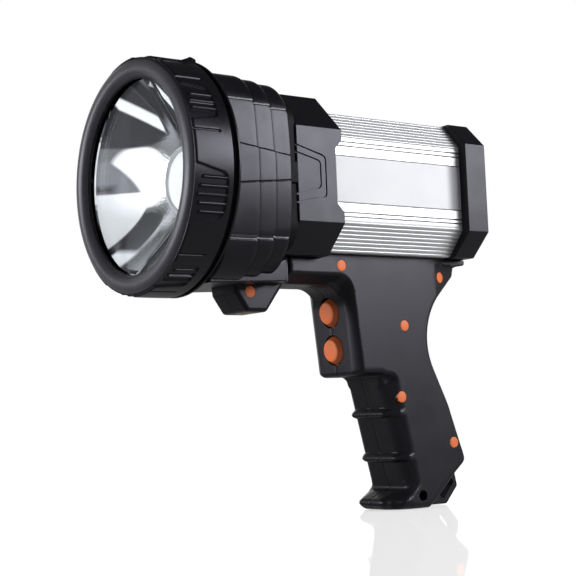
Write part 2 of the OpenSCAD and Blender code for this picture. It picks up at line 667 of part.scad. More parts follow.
function plate_outline() = concat(grip_back(), [
    [foot_s - 5, 0, 0.5], [foot_s - 5, 4.5, 2], [foot_s + 5.7, foot_z + 2.5, 4], [finger_s + 9.2, shelf_z + 1, 5],
    [shelf_s + 3.3, shelf_z + 1.5, 2], [panel_s + 1.5, arm_z + plate_lip, 10], [arm_s, arm_z + plate_lip, 0]]);

// Heights of the finger ribs, between the foot and the step under the button panel
finger_rib_z = [for (share = [0.28, 0.67]) foot_z + share * (shelf_z - foot_z)];

// Hollows inside the grip: a narrow one that follows the core and a wide one inside the plates
hollow_top = arm_z - 4.5;
function core_hollow() = [[panel_s + grip_wall + 0.9, hollow_top, 0], [waist_s - 6, hollow_top, 6],
    [waist_s - 4, waist_z, 20], [heel_s - 6, heel_z + 4.5, 4], [heel_s - 24, 6, 3], [foot_s + 3.5, 6, 2],
    [finger_s + grip_wall + 1, shelf_z + grip_wall, 2], [shelf_s + grip_wall, shelf_z + grip_wall, 1]];
function plate_hollow() = [[panel_s + 8, hollow_top, 0], [waist_s - 7, hollow_top, 6],
    [waist_s - 5, waist_z, 20], [heel_s - 7.5, heel_z + 4.5, 4], [heel_s - 24.5, 9, 3], [foot_s + 8.7, 12, 3],
    [finger_s + 12.2, shelf_z + 2, 4], [shelf_s + 7, shelf_z + 4, 2]];

// Screws across the grip, each under a plug, and one in the foot without a plug
arm_screw = [collar_end + 13.8, axis_h - collar_drop - 3.5];
tail_screw = [cap_end - 17.4, axis_h - cap_half_h - 10.1];
waist_screw = [waist_s - 14.7, waist_z + 8.3];
finger_screw = [finger_s + 12.2, shelf_z - 12];
heel_screw = [heel_s - 8.1, heel_z + 10.7];
grip_screw_at = [arm_screw, tail_screw, waist_screw, finger_screw, heel_screw];
foot_screw_at = [foot_s + 7.2, foot_z - 3.2];
boss_r = 4.2;
screw_bite = 7;
head_x = 8;
module screw_path(p, face_x) {
    rod_x(-1, face_x, p, screw_r + slip);
    rod_x(head_x_at(face_x), face_x, p, head_r + slip);
    rod_x(face_x - plug_t - slip, face_x + 1, p, plug_r + slip / 2);
}
function head_x_at(face_x) = min(head_x, face_x - plug_t - head_t - 1);

// Lanyard loop behind the foot, with its slot along the slanted edge
loop_low = [cap_end - 6.5, 0];
loop_high = [total_len, 9.5];
loop_dir = unit(loop_high - loop_low);
loop_rim = 3;
slot_mid = (loop_low + loop_high) / 2 + (loop_rim + slot_w / 2) * [-loop_dir[1], loop_dir[0]];
slot_angle = atan2(loop_dir[1], loop_dir[0]);

module grip_half() difference() {
    union() {
        difference() {
            union() {
                side_run(0, core_half_w) polygon(rounded(core_outline()));
                side_run(core_half_w - 1, grip_half_w) polygon(rounded(plate_outline()));
                for (z = finger_rib_z)
                    rod_x(0, core_half_w, [finger_s + finger_lean * (shelf_z - z) / (shelf_z - foot_z), z],
                          finger_rib_r);
                side_run(0, loop_half_t) polygon(rounded([[heel_s - 24, 0, 0], [loop_low[0], loop_low[1], 2],
                    [loop_high[0], loop_high[1], 2], [cap_end + 0.5, 17, 2], [heel_s - 6, 20, 0]]));
            }
            side_run(-1, core_half_w - grip_wall) polygon(rounded(core_hollow()));
            side_run(core_half_w - grip_wall - 1, grip_half_w - grip_wall) polygon(rounded(plate_hollow()));
        }
        for (p = grip_screw_at) rod_x(0, grip_half_w, p, boss_r);
        rod_x(0, grip_half_w, foot_screw_at, boss_r);
    }
    side_run(-1, loop_half_t + 1) translate(slot_mid) rotate(slot_angle)
        polygon(rounded([[slot_len / 2, slot_w / 2, 1.5], [-slot_len / 2, slot_w / 2, 1.5],
                         [-slot_len / 2, -slot_w / 2, 1.5], [slot_len / 2, -slot_w / 2, 1.5]]));
    for (i = [0, 1]) on_panel(i) translate([0, 0, -6]) cylinder(h = 14, d = button_d + 2 * button_gap);
    for (i = [0, 1]) on_panel(i) translate([0, 0, grip_wall]) cylinder(h = 16, d = flange_d + 2 * button_gap);
    translate([0, wire_hole_s - mid_s, hollow_top - 1]) cylinder(h = 30, r = wire_hole_r);
}
module grip_right() color(grip_plastic) difference() {
    grip_half();
    for (p = grip_screw_at) screw_path(p, grip_half_w);
    screw_path(foot_screw_at, grip_half_w);
}
module grip_left() color(grip_plastic) difference() {
    mirror([1, 0, 0]) grip_half();
    for (p = grip_screw_at) rod_x(-screw_bite - 1, 1, p, screw_r + slip / 2);
    rod_x(-screw_bite - 1, 1, foot_screw_at, screw_r + slip / 2);
}
module cross_screw(p, face_x) {
    rod_x(head_x_at(face_x), head_x_at(face_x) + head_t, p, head_r);
    rod_x(-screw_bite, head_x_at(face_x), p, screw_r);
}
module grip_screws() color(steel) {
    for (p = grip_screw_at) cross_screw(p, grip_half_w);
    cross_screw(foot_screw_at, grip_half_w);
    cross_screw(lug_screw, lug_half_w);
}
module screw_plugs() color(orange_plastic) {
    for (p = grip_screw_at) rod_x(grip_half_w - plug_t, grip_half_w + 0.2, p, plug_r);
    rod_x(lug_half_w - plug_t, lug_half_w + 0.2, lug_screw, plug_r);
}

// Buttons slide square to the leaning panel, held by a flange behind its wall
panel_tilt = atan2(panel_lean, button_panel_h);
flange_d = button_d + 3;
button_flange_t = 2;
stem_r = 2.5;
stem_len = 4;
switch_gap = 0.4;
switch_h = 3.5;
switch_w = 6;
plunger_h = 1;
plunger_r = 1.75;
rest_gap = 0.2;
stem_end = grip_wall + rest_gap + button_flange_t + stem_len;
plunger_at = stem_end + button_travel + switch_gap;
board_at = plunger_at + plunger_h + switch_h;
module on_panel(i) translate([0, panel_s - mid_s, panel_top]) rotate([panel_tilt, 0, 0])
    translate([0, 0, -button_drop - i * button_pitch]) rotate([-90, 0, 0]) children();
module push_button(i) on_panel(i) {
    dome_r = (button_d * button_d / 4 + dome_h * dome_h) / (2 * dome_h);
    intersection() {
        translate([0, 0, dome_r - dome_h]) sphere(r = dome_r);
        translate([0, 0, -dome_h]) cylinder(h = dome_h + grip_wall + rest_gap, d = button_d);
    }
    translate([0, 0, grip_wall + rest_gap]) cylinder(h = button_flange_t, d = flange_d);
    translate([0, 0, grip_wall + rest_gap + button_flange_t]) cylinder(h = stem_len, r = stem_r);
}
module main_button() color(orange_plastic) push_button(0);
module side_light_button() color(orange_plastic) push_button(1);

switch_board_t = 1.6;
switch_board_half_w = core_half_w - grip_wall - slip;
switch_board_reach = 6;
module switch_board() color(board_green) on_panel(0)
    translate([-switch_board_half_w, -switch_board_reach, board_at])
        cube([2 * switch_board_half_w, button_pitch + 2 * switch_board_reach, switch_board_t]);
module tact_switches() color("#303034") for (i = [0, 1]) on_panel(i) {
    translate([-switch_w / 2, -switch_w / 2, plunger_at + plunger_h]) cube([switch_w, switch_w, switch_h]);
    translate([0, 0, plunger_at]) cylinder(h = plunger_h + 0.5, r = plunger_r);
}

bezel_ring();
front_lens();
lens_seal();
reflector();
led_ring();
led_emitter();
led_board();
heat_sink();
sink_screws();
head_shell();
saddle_right();
saddle_left();
tripod_socket();
collar();
body_tube();
light_panel_right();
light_panel_left();
led_strip_right();
led_strip_left();
battery_cells();
cell_holder_front();
cell_holder_rear();
driver_board();
rear_cap();
cap_gasket();
cap_screws();
charge_socket();
port_cover();
charge_indicator();
grip_right();
grip_left();
grip_screws();
screw_plugs();
main_button();
side_light_button();
switch_board();
tact_switches();
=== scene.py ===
import math

import bmesh
import bpy
import numpy as np
from mathutils import Matrix, Vector
from mathutils.geometry import delaunay_2d_cdt


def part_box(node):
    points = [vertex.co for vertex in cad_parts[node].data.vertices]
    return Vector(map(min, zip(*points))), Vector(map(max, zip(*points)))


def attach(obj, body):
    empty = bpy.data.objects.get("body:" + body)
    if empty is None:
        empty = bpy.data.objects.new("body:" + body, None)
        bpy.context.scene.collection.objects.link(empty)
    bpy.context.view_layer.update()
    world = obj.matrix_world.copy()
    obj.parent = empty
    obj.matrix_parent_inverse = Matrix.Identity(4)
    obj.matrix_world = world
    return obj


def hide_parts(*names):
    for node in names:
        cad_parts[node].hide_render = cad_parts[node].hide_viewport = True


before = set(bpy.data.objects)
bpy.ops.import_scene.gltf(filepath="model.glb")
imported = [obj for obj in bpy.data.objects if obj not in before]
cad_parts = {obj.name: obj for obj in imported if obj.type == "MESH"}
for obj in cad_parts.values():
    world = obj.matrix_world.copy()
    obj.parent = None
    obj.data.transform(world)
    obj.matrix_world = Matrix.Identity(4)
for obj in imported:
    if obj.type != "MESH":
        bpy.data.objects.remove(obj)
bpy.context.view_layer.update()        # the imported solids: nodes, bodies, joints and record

# Camera: it stands low, ahead of the lamp and to its right, and looks slightly up at the head.
# It holds the photograph's view: a long lens from about 0.74 m, leaning a little to one side.
scene = bpy.context.scene
scene.view_settings.view_transform = "Standard"
camera_at = Vector((0.5878, -0.4326, 0.0521))
camera_aim = Vector((0, -0.00782, 0.11937))
camera_roll = math.radians(-2.344)
camera_data = bpy.data.cameras.new("camera")
camera_data.sensor_width = 36
camera_data.lens = 86.39
camera = bpy.data.objects.new("camera", camera_data)
scene.collection.objects.link(camera)
look = (camera_aim - camera_at).to_track_quat("-Z", "Y").to_matrix().to_4x4()
camera.matrix_world = Matrix.Translation(camera_at) @ look @ Matrix.Rotation(camera_roll, 4, "Z")
scene.camera = camera


# Studio: pale paper under the lamp, a soft box behind its right side and a weaker one ahead of it.
# The air is white to the eye and holds grey cards for metal and glass, and the paper keeps the shadow.
def add_node(tree, kind, inputs=None, **settings):
    """A shader node with its settings made and its inputs linked or filled in."""
    made = tree.nodes.new("ShaderNode" + kind)
    for key, value in settings.items():
        setattr(made, key, value)
    for key, value in (inputs or {}).items():
        if isinstance(value, bpy.types.NodeSocket):
            tree.links.new(value, made.inputs[key])
        else:
            made.inputs[key].default_value = value
    return made


def worked(tree, operation, *values):
    """The result of a sum on sockets and numbers."""
    return add_node(tree, "Math", dict(enumerate(values)), operation=operation).outputs[0]


def mixed(tree, factor, under, over):
    """One colour laid over another by a factor."""
    return add_node(tree, "Mix", {0: factor, 6: under, 7: over}, data_type="RGBA").outputs[2]


def ranged(tree, value, first, last, low=0.0, high=1.0):
    """A value's run from first to last turned into one from low to high."""
    return add_node(tree, "MapRange", {"Value": value, "From Min": first, "From Max": last,
                                       "To Min": low, "To Max": high}).outputs[0]


def add_ramp(tree, factor, stops):
    """A colour ramp over a factor, from (position, grey or colour) stops."""
    ramp = add_node(tree, "ValToRGB", {"Fac": factor})
    spots = ramp.color_ramp.elements
    while len(spots) < len(stops):
        spots.new(1.0)
    for spot, (position, tone) in zip(spots, stops):
        spot.position = position
        spot.color = (*tone, 1) if isinstance(tone, tuple) else (tone, tone, tone, 1)
    return ramp.outputs["Color"]


def seen_directly(tree):
    """1 for rays from the eye, and 1 for these and the rays from metal and glass."""
    path = add_node(tree, "LightPath").outputs
    shiny = worked(tree, "MAXIMUM", path["Is Glossy Ray"], path["Is Transmission Ray"])
    return path["Is Camera Ray"], worked(tree, "MAXIMUM", path["Is Camera Ray"], shiny)


world = bpy.data.worlds.new("studio air")
scene.world = world
world.use_nodes = True
air = world.node_tree
air.nodes.clear()
to_eye, to_shine = seen_directly(air)
# Each direction as degrees away from the beam, laid out flat as the lamp sees it
way = add_node(air, "TexCoord").outputs["Generated"]
apart = add_node(air, "SeparateXYZ", {0: way}).outputs
off_beam = worked(air, "ARCCOSINE", worked(air, "MULTIPLY", apart["Y"], -1.0))
spread = worked(air, "MULTIPLY", off_beam, 180 / math.pi)
level = add_node(air, "CombineXYZ", {"X": apart["X"], "Y": apart["Z"]}).outputs[0]
outward = add_node(air, "VectorMath", {0: level}, operation="NORMALIZE").outputs["Vector"]
front_map = add_node(air, "VectorMath", {0: outward, "Scale": spread}, operation="SCALE").outputs["Vector"]


def add_card(under, tone, middle, half, turn, edge):
    """A flat card ahead of the lamp over what is under it, in degrees right of and above the beam."""
    turned = (0, 0, math.radians(turn))
    spot = add_node(air, "Mapping", {"Vector": front_map, "Location": (*middle, 0), "Rotation": turned},
                    vector_type="TEXTURE").outputs[0]
    size = add_node(air, "VectorMath", {0: spot}, operation="ABSOLUTE").outputs["Vector"]
    excess = add_node(air, "VectorMath", {0: size, 1: (*half, 0)}, operation="SUBTRACT").outputs["Vector"]
    over = add_node(air, "SeparateXYZ", {0: excess}).outputs
    beyond = worked(air, "MAXIMUM", over["X"], over["Y"])
    return mixed(air, ranged(air, beyond, -edge, edge, 1.0, 0.0), under, tone)


from_beam = worked(air, "DIVIDE", spread, 90.0)
upper_paper = add_ramp(air, from_beam, [(0.0, 1.0), (0.28, 1.0), (0.42, 0.66), (0.7, 0.52)])
front_cards = add_ramp(air, from_beam, [(0.0, 1.0), (0.295, 1.0), (0.325, 0.15), (1.0, 0.15)])
# Tone, middle, half size, turn and softness of the edge
for card in (((0.50, 0.50, 0.52, 1), (-34, 38), (14, 9), 40, 5),
             ((0.30, 0.30, 0.32, 1), (-46, -27), (18, 7), -15, 4),
             ((0.21, 0.21, 0.23, 1), (38, 10.8), (25, 19), 28, 1.0),
             (upper_paper, (31, 42.5), (31.5, 30), 0, 0.8),
             ((0.012, 0.012, 0.014, 1), (46, 8.2), (20, 2.6), 0, 3.0),
             ((0.013, 0.013, 0.015, 1), (-14, 50), (13, 18), 0, 1.0),
             ((0.80, 0.80, 0.82, 1), (-21, 64), (11, 5), 0, 1.5),
             ((0.012, 0.012, 0.014, 1), (-49, 55), (17, 10), 0, 4),
             ((0.030, 0.030, 0.034, 1), (0, -51), (48, 24), 0, 1.0),
             ((1.0, 1.0, 1.0, 1), (-31, -43), (17, 4.5), -36, 1.0),
             ((0.015, 0.015, 0.018, 1), (-63, -44), (15, 13), 0, 3)):
    front_cards = add_card(front_cards, *card)
# Cards at the sides, overhead and underneath, for the plastic and the bare metal
aside, lengthwise, upwards = [ranged(air, apart[key], -1.0, 1.0) for key in "XYZ"]
side_cards = add_ramp(air, aside, [(0.0, 0.12), (0.3, 0.12), (0.5, 0.25), (1.0, 0.25)])
skyline = add_ramp(air, upwards, [(0.0, 0.0), (0.45, 0.0), (0.5, 1.0), (0.71, 1.0), (0.77, 0.0), (1.0, 0.0)])
far_side = add_ramp(air, aside, [(0.0, 1.0), (0.25, 1.0), (0.35, 0.0), (1.0, 0.0)])
lit_cards = mixed(air, worked(air, "MULTIPLY", skyline, far_side), side_cards, (1, 1, 1, 1))
overhead = add_ramp(air, upwards, [(0.0, 0.0), (0.72, 0.0), (0.79, 1.0), (1.0, 1.0)])
roofed = mixed(air, overhead, lit_cards, (0.04, 0.04, 0.045, 1))
underneath = add_ramp(air, upwards, [(0.0, 1.0), (0.485, 1.0), (0.5, 0.0), (1.0, 0.0)])
low_cards = add_ramp(air, aside, [(0.0, 0.28), (0.36, 0.28), (0.5, 0.33), (1.0, 0.33)])
rear_cards = mixed(air, underneath, roofed, low_cards)
ahead = add_ramp(air, lengthwise, [(0.0, 1.0), (0.38, 1.0), (0.42, 0.0), (1.0, 0.0)])
in_bowl = add_node(air, "LightPath").outputs["Is Transmission Ray"]
front_tone = mixed(air, in_bowl, (0.15, 0.15, 0.155, 1), front_cards)
shown = mixed(air, ahead, rear_cards, front_tone)
card_light = worked(air, "MULTIPLY_ADD", in_bowl, 0.6, 1.0)
# White for the eye, the cards for what shines, and a dim light for all the rest
white_air = add_node(air, "Background", {"Color": (1, 1, 1, 1), "Strength": 1.0}).outputs[0]
dim_air = add_node(air, "Background", {"Color": (1, 1, 1, 1), "Strength": 0.3}).outputs[0]
shine_air = add_node(air, "Background", {"Color": shown, "Strength": card_light}).outputs[0]
not_eye = add_node(air, "MixShader", {0: to_shine, 1: dim_air, 2: shine_air}).outputs[0]
all_air = add_node(air, "MixShader", {0: to_eye, 1: not_eye, 2: white_air}).outputs[0]
add_node(air, "OutputWorld", {"Surface": all_air})

paper_half = 4.0
paper_drop = 0.0004
paper_corners = [(-paper_half, -paper_half, -paper_drop), (paper_half, -paper_half, -paper_drop),
                 (paper_half, paper_half, -paper_drop), (-paper_half, paper_half, -paper_drop)]
paper_mesh = bpy.data.meshes.new("paper")
paper_mesh.from_pydata(paper_corners, [], [(0, 1, 2, 3)])
paper = bpy.data.objects.new("paper", paper_mesh)
scene.collection.objects.link(paper)
paper.visible_glossy = False
paper.visible_transmission = False
paper_look = bpy.data.materials.new("pale paper")
paper_look.use_nodes = True
sheet = paper_look.node_tree
sheet.nodes.clear()
to_eye = seen_directly(sheet)[0]
paper_white = add_node(sheet, "Emission", {"Color": (1, 1, 1, 1), "Strength": 0.59}).outputs[0]
paper_sheen = add_node(sheet, "BsdfGlossy", {"Color": (0.34, 0.34, 0.34, 1), "Roughness": 0.05}).outputs[0]
paper_shade = add_node(sheet, "BsdfDiffuse", {"Color": (0.3, 0.3, 0.3, 1)}).outputs[0]
lit_paper = add_node(sheet, "AddShader", {0: paper_sheen, 1: paper_white}).outputs[0]
whole_paper = add_node(sheet, "AddShader", {0: lit_paper, 1: paper_shade}).outputs[0]
dull_paper = add_node(sheet, "BsdfDiffuse", {"Color": (0.6, 0.6, 0.6, 1)}).outputs[0]
paper_mix = add_node(sheet, "MixShader", {0: to_eye, 1: dull_paper, 2: whole_paper}).outputs[0]
add_node(sheet, "OutputMaterial", {"Surface": paper_mix})
paper_mesh.materials.append(paper_look)


def soft_box(name, toward, distance, width, height, power):
    """A rectangular lamp that faces the middle of the searchlight."""
    middle = Vector((0, 0, 0.15))
    lamp = bpy.data.lights.new(name, "AREA")
    lamp.shape = "RECTANGLE"
    lamp.size = width
    lamp.size_y = height
    lamp.energy = power
    box = bpy.data.objects.new(name, lamp)
    box.location = middle + Vector(toward).normalized() * distance
    box.rotation_euler = (middle - box.location).to_track_quat("-Z", "Y").to_euler()
    scene.collection.objects.link(box)


soft_box("key box", (0.78, 0.58, 0.33), 1.0, 0.5, 0.46, 8.5)
soft_box("front box", (-0.4, -0.9, 0.08), 1.5, 1.1, 0.5, 13.0)

# Bezel ring: the screwed-on black ring in front, moulded in grained plastic; its rolled lip is a lighter grey
# as painted sheen.
# Ridged pockets, pill grooves and one raised nub are moulded into its band, for the fingers.
MM = 0.001        # sizes below are in millimetres: _r is a radius, _s a place behind the lip, _h a height
lip_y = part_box("bezel_ring")[0].y
axis_z = sum(corner.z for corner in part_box("front_lens")) / 2
lamp_axis = Matrix.Translation((0, lip_y, axis_z)) @ Matrix.Rotation(-math.pi / 2, 4, "X")


def new_material(name, fixed):
    """A material whose shader has the given constants, with the place on the piece to work from."""
    material = bpy.data.materials.new(name)
    material.use_nodes = True
    tree = material.node_tree
    shader = tree.nodes["Principled BSDF"]
    for key, value in fixed.items():
        shader.inputs[key].default_value = value
    return material, tree, shader, add_node(tree, "TexCoord").outputs["Object"]


def noise(tree, place, scale, detail=2.0, roughness=0.5):
    """Cloudy noise over a piece."""
    return add_node(tree, "TexNoise", {"Vector": place, "Scale": scale, "Detail": detail,
                                       "Roughness": roughness}).outputs["Fac"]


def add_relief(tree, shader, height, strength, distance):
    """A fine relief on a finish."""
    bump = add_node(tree, "Bump", {"Height": height, "Strength": strength, "Distance": distance})
    tree.links.new(bump.outputs[0], shader.inputs["Normal"])


def shade(colour, share):
    return tuple(min(1.0, part * share) for part in colour)


def moulded_plastic(name, colour, roughness, shine, wear_and_highlight=1.7):
    """Moulded plastic: eroded grain, an uneven gloss from handling and paler edges, partly scuffing and
    partly painted highlight.
    """
    material, tree, shader, place = new_material(
        name, {"Specular IOR Level": shine, "Specular Tint": (0.86, 0.86, 1.0, 1)})
    cloud = noise(tree, place, 55.0, 6.0, 0.65)
    tone = add_ramp(tree, cloud, [(0.3, shade(colour, 0.86)), (0.55, colour), (0.75, shade(colour, 1.15))])
    # Paler edges: partly scuffing, partly a painted highlight along them.
    bent = add_node(tree, "Bevel", {"Radius": 0.0007}, samples=4).outputs["Normal"]
    straight = add_node(tree, "NewGeometry").outputs["Normal"]
    facing = add_node(tree, "VectorMath", {0: bent, 1: straight}, operation="DOT_PRODUCT").outputs["Value"]
    rubbed_and_highlit = worked(tree, "MULTIPLY", add_ramp(tree, facing, [(0.80, 1.0), (0.97, 0.0)]), cloud)
    worn_and_highlit = mixed(tree, rubbed_and_highlit, tone, (*shade(colour, wear_and_highlight), 1))
    gloss = ranged(tree, cloud, 0.3, 0.75, roughness - 0.04, roughness + 0.06)
    tree.links.new(worn_and_highlit, shader.inputs["Base Color"])
    tree.links.new(gloss, shader.inputs["Roughness"])
    add_relief(tree, shader, noise(tree, place, 2500.0, 3.0), 0.35, 0.00006)
    return material


def grid_faces(rows, columns, close_rows=True, close_columns=True):
    """Quads over a grid of rows and columns, joined up at its ends where it closes."""
    faces = []
    for i in range(rows if close_rows else rows - 1):
        low, high = i * columns, (i + 1) % rows * columns
        for j in range(columns if close_columns else columns - 1):
            k = (j + 1) % columns
            faces.append((low + j, low + k, high + k, high + j))
    return faces


def spun(profile, count, place=lamp_axis, shape=None):
    """Points and faces of a closed profile of (radius, station), spun round the local Z of a place."""
    outline = np.array(profile, float)
    turn = np.linspace(0, 2 * math.pi, count, endpoint=False)[:, None]
    radius = np.tile(outline[:, 0], (count, 1))
    station = np.tile(outline[:, 1], (count, 1))
    if shape is not None:
        radius = shape(radius, station, turn)
    local = np.stack([radius * np.cos(turn), -radius * np.sin(turn), station], -1).reshape(-1, 3) * MM
    spin = np.array(place)
    on_axis = profile[0][0] == 0 and profile[-1][0] == 0
    return local @ spin[:3, :3].T + spin[:3, 3], grid_faces(count, len(outline), close_columns=not on_axis)


def joined(*parts):
    """Several sets of points and faces as one."""
    points, faces, start = [], [], 0
    for some_points, some_faces in parts:
        points.append(np.array(some_points, float))
        faces += [tuple(start + i for i in face) for face in some_faces]
        start += len(some_points)
    return np.concatenate(points), faces


def make_mesh(name, points, faces, crease):
    """A welded mesh with outward faces, smooth up to the crease angle."""
    mesh = bpy.data.meshes.new(name)
    mesh.from_pydata([tuple(p) for p in points], [], faces)
    work = bmesh.new()
    work.from_mesh(mesh)
    bmesh.ops.remove_doubles(work, verts=work.verts, dist=1e-7)
    bmesh.ops.dissolve_degenerate(work, edges=work.edges, dist=1e-8)
    bmesh.ops.recalc_face_normals(work, faces=work.faces)
    work.to_mesh(mesh)
    work.free()
    mesh.shade_smooth()
    mesh.set_sharp_from_angle(angle=math.radians(crease))
    return mesh


def shape_with(piece, operation, shapes, crease):
    """Cuts shapes out of a piece, or joins them to it, one after another."""
    tools = []
    for shape in shapes:
        tool = bpy.data.objects.new("tool", make_mesh("tool", *shape, crease))
        scene.collection.objects.link(tool)
        step = piece.modifiers.new("step", "BOOLEAN")
        step.object = tool
        step.operation = operation
        step.solver = "EXACT"
        tools.append(tool)
    ready = piece.evaluated_get(bpy.context.evaluated_depsgraph_get())
    piece.data = bpy.data.meshes.new_from_object(ready)
    piece.modifiers.clear()
    for tool in tools:
        bpy.data.objects.remove(tool)
    piece.data.shade_smooth()
    piece.data.set_sharp_from_angle(angle=math.radians(crease))


def make_piece(name, shape, material, stands_for=(), body="lamp", crease=32, adds=(), holes=()):
    """A piece of the lamp from points and faces: its added shapes joined, its holes cut, its finish and body
    set and the nodes it stands for hidden.
    """
    piece = bpy.data.objects.new(name, make_mesh(name, *shape, crease))
    scene.collection.objects.link(piece)
    if adds:
        shape_with(piece, "UNION", adds, crease)
    if holes:
        shape_with(piece, "DIFFERENCE", holes, crease)
    even = piece.modifiers.new("even shading", "WEIGHTED_NORMAL")
    even.keep_sharp = True
    piece.data.materials.clear()
    piece.data.materials.append(material)
    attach(piece, body)
    if stands_for:
        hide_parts(*stands_for)
    return piece


def smooth_step(low, high, value):
    t = np.clip((value - low) / (high - low), 0, 1)
    return t * t * (3 - 2 * t)


def arc(middle, radii, first, last, count):
    """Points of an elliptical arc between two angles in degrees."""
    turn = np.radians(np.linspace(first, last, count))
    return [(middle[0] + radii[0] * math.cos(a), middle[1] + radii[1] * math.sin(a)) for a in turn]


bezel_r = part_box("bezel_ring")[1].x / MM
bezel_len = 23.6
opening_r, lip_rim = 48.5, bezel_r - 1.6
lip_mid, lip_half = (opening_r + lip_rim) / 2, (lip_rim - opening_r) / 2
inner_tail, outer_tail, sheen_end = 4.4, 2.8, 3.4
groove_s, nose_s, nose_r = 3.2, 2.4, 1.2
ledge_s, seat_r = 5.0, 52.1
shoulder_s, neck_seat_r = 10.8, 57.3
pocket_depth, pocket_edge = 1.0, (-0.35, 0.25)
ridge_pitch, ridge_half, ridge_share = 4.15, 0.8, 0.95
# Angle of the first pocket, half widths at its front and rear, length, corner, starts of its ridges
wide_pocket = (-16.9, 15.0, 10.5, 18.0, 3.0, (6.4, 5.3, 4.2, 5.3, 6.4))
narrow_pocket = (28.1, 11.0, 8.3, 15.6, 2.5, (4.4, 4.2, 5.8))
pill_len, pill_half, pill_angle = 15.1, 0.75, 15.25
pill_depth, pill_floor = 0.8, 0.25


def band_relief(radius, station, turn):
    """The band's radius with its pockets, ridges and pill grooves sunk into it."""
    depth = np.zeros_like(radius)
    for angle, front, rear, length, corner, starts in (wide_pocket, narrow_pocket):
        for quarter in range(4):
            across = (turn - math.radians(angle + 90 * quarter) + math.pi) % (2 * math.pi) - math.pi
            u = bezel_r * across + 0 * radius
            v = station - nose_s
            side = np.abs(u) - (front + (rear - front) * v / length) + corner
            back = v - length + corner
            past_corner = np.hypot(np.maximum(side, 0), np.maximum(back, 0))
            edge = np.minimum(np.maximum(side, back), 0) + past_corner - corner
            sunk = 1 - smooth_step(*pocket_edge, edge)
            for i, start in enumerate(starts):
                off = np.abs(u - (i - (len(starts) - 1) / 2) * ridge_pitch)
                tip = np.hypot(off, np.minimum(station - start - 0.5, 0))
                sunk = sunk * (1 - ridge_share * np.sqrt(np.clip(1 - (tip / ridge_half) ** 2, 0, 1)))
            depth = np.maximum(depth, pocket_depth * sunk)
            if starts is narrow_pocket[5]:
                for way_round in (-1, 1):
                    pill = (across + way_round * math.radians(pill_angle)) * bezel_r + 0 * radius
                    far = np.hypot(pill, np.maximum(v - pill_len + pill_half, 0))
                    depth = np.maximum(depth, pill_depth * (1 - smooth_step(pill_floor, pill_half, far)))
    return np.minimum(radius, np.where(radius > bezel_r - nose_r, bezel_r - depth, radius))


band = [(bezel_r, s) for s in np.arange(nose_s + nose_r + 0.3, bezel_len - 0.7, 0.36)]
bezel_profile = ([(opening_r, ledge_s)] + arc((lip_mid, inner_tail), (lip_half, inner_tail), 180, 270, 16)
                 + arc((lip_mid, outer_tail), (lip_half, outer_tail), 270, 360, 16)[1:]
                 + [(lip_rim, groove_s), (bezel_r - nose_r, groove_s)]
                 + arc((bezel_r - nose_r, nose_s + nose_r), (nose_r, nose_r), 270, 360, 8) + band
                 + arc((bezel_r - 0.7, bezel_len - 0.7), (0.7, 0.7), 0, 90, 5)
                 + [(neck_seat_r, bezel_len), (neck_seat_r, shoulder_s),
                    (seat_r, shoulder_s), (seat_r, ledge_s)])
nub_angle, nub_w, nub_h = 63, 5.0, 2.6
nub_side = [(-0.8, 15.6), (0.1, 16.1), (nub_h - 0.7, 20.4), (nub_h - 0.15, 21.2), (nub_h, 21.9),
            (nub_h - 0.2, 22.5), (nub_h - 0.7, 22.9), (-0.8, 23.1)]
# Place across the nub as a share of its width, and how far it is drawn in there
nub_steps = ((-0.5, 0.45), (-0.42, 0.1), (-0.3, 0), (0.3, 0), (0.42, 0.1), (0.5, 0.45))


def nub():
    """The nub: its side view run across, with its ends drawn in a little."""
    turn = math.radians(nub_angle)
    out, across = Vector((math.cos(turn), 0, math.sin(turn))), Vector((-math.sin(turn), 0, math.cos(turn)))
    points = []
    for step, shrink in nub_steps:
        for rise, s in nub_side:
            spot = out * (bezel_r + rise - shrink * (rise > 0)) + across * (step * nub_w)
            points.append((spot.x * MM, lip_y + s * MM, axis_z + spot.z * MM))
    rows, count = len(nub_steps), len(nub_side)
    ends = [tuple(range(count)), tuple(range((rows - 1) * count, rows * count))]
    return points, grid_faces(rows, count, close_rows=False) + ends


black = (0.006, 0.006, 0.0078)
black_plastic = moulded_plastic("grained black plastic", black, 0.31, 0.31)
lip_sheen_plastic = moulded_plastic("painted sheen lip plastic", (0.047, 0.047, 0.054), 0.36, 0.6)
bezel = make_piece("bezel_ring_moulding", joined(spun(bezel_profile, 960, shape=band_relief), nub()),
                   black_plastic, ["bezel_ring"], crease=40)
# The rolled lip's front faces take a lighter grey: a painted sheen.
bezel.data.materials.append(lip_sheen_plastic)
for face in bezel.data.polygons:
    s = (face.center.y - lip_y) / MM
    r = math.hypot(face.center.x, face.center.z - axis_z) / MM
    if r < lip_rim + 0.05 and s < (outer_tail if r > lip_mid else sheen_end):
        face.material_index = 1

# Front lens: a clear polycarbonate disc with a polished edge, pressed on its seal by the bezel.
# The seal is a rubber ring of round section that sits in front of it, under the bezel's ledge.
lens_s, lens_t, lens_r = 6.6, 2.0, 52.0
lens_look, lens_tree, lens_shader, lens_place = new_material(
    "clear lens", {"Base Color": (0.96, 0.98, 0.99, 1), "Transmission Weight": 1.0, "IOR": 1.45})
lens_smear = ranged(lens_tree, noise(lens_tree, lens_place, 70.0, 5.0), 0.35, 0.8, 0.0, 0.035)
lens_tree.links.new(lens_smear, lens_shader.inputs["Roughness"])
lens_profile = [(0, lens_s), (lens_r - 0.4, lens_s), (lens_r, lens_s + 0.4), (lens_r, lens_s + lens_t - 0.4),
                (lens_r - 0.4, lens_s + lens_t), (0, lens_s + lens_t)]
make_piece("front_lens_disc", spun(lens_profile, 160), lens_look, ["front_lens"])


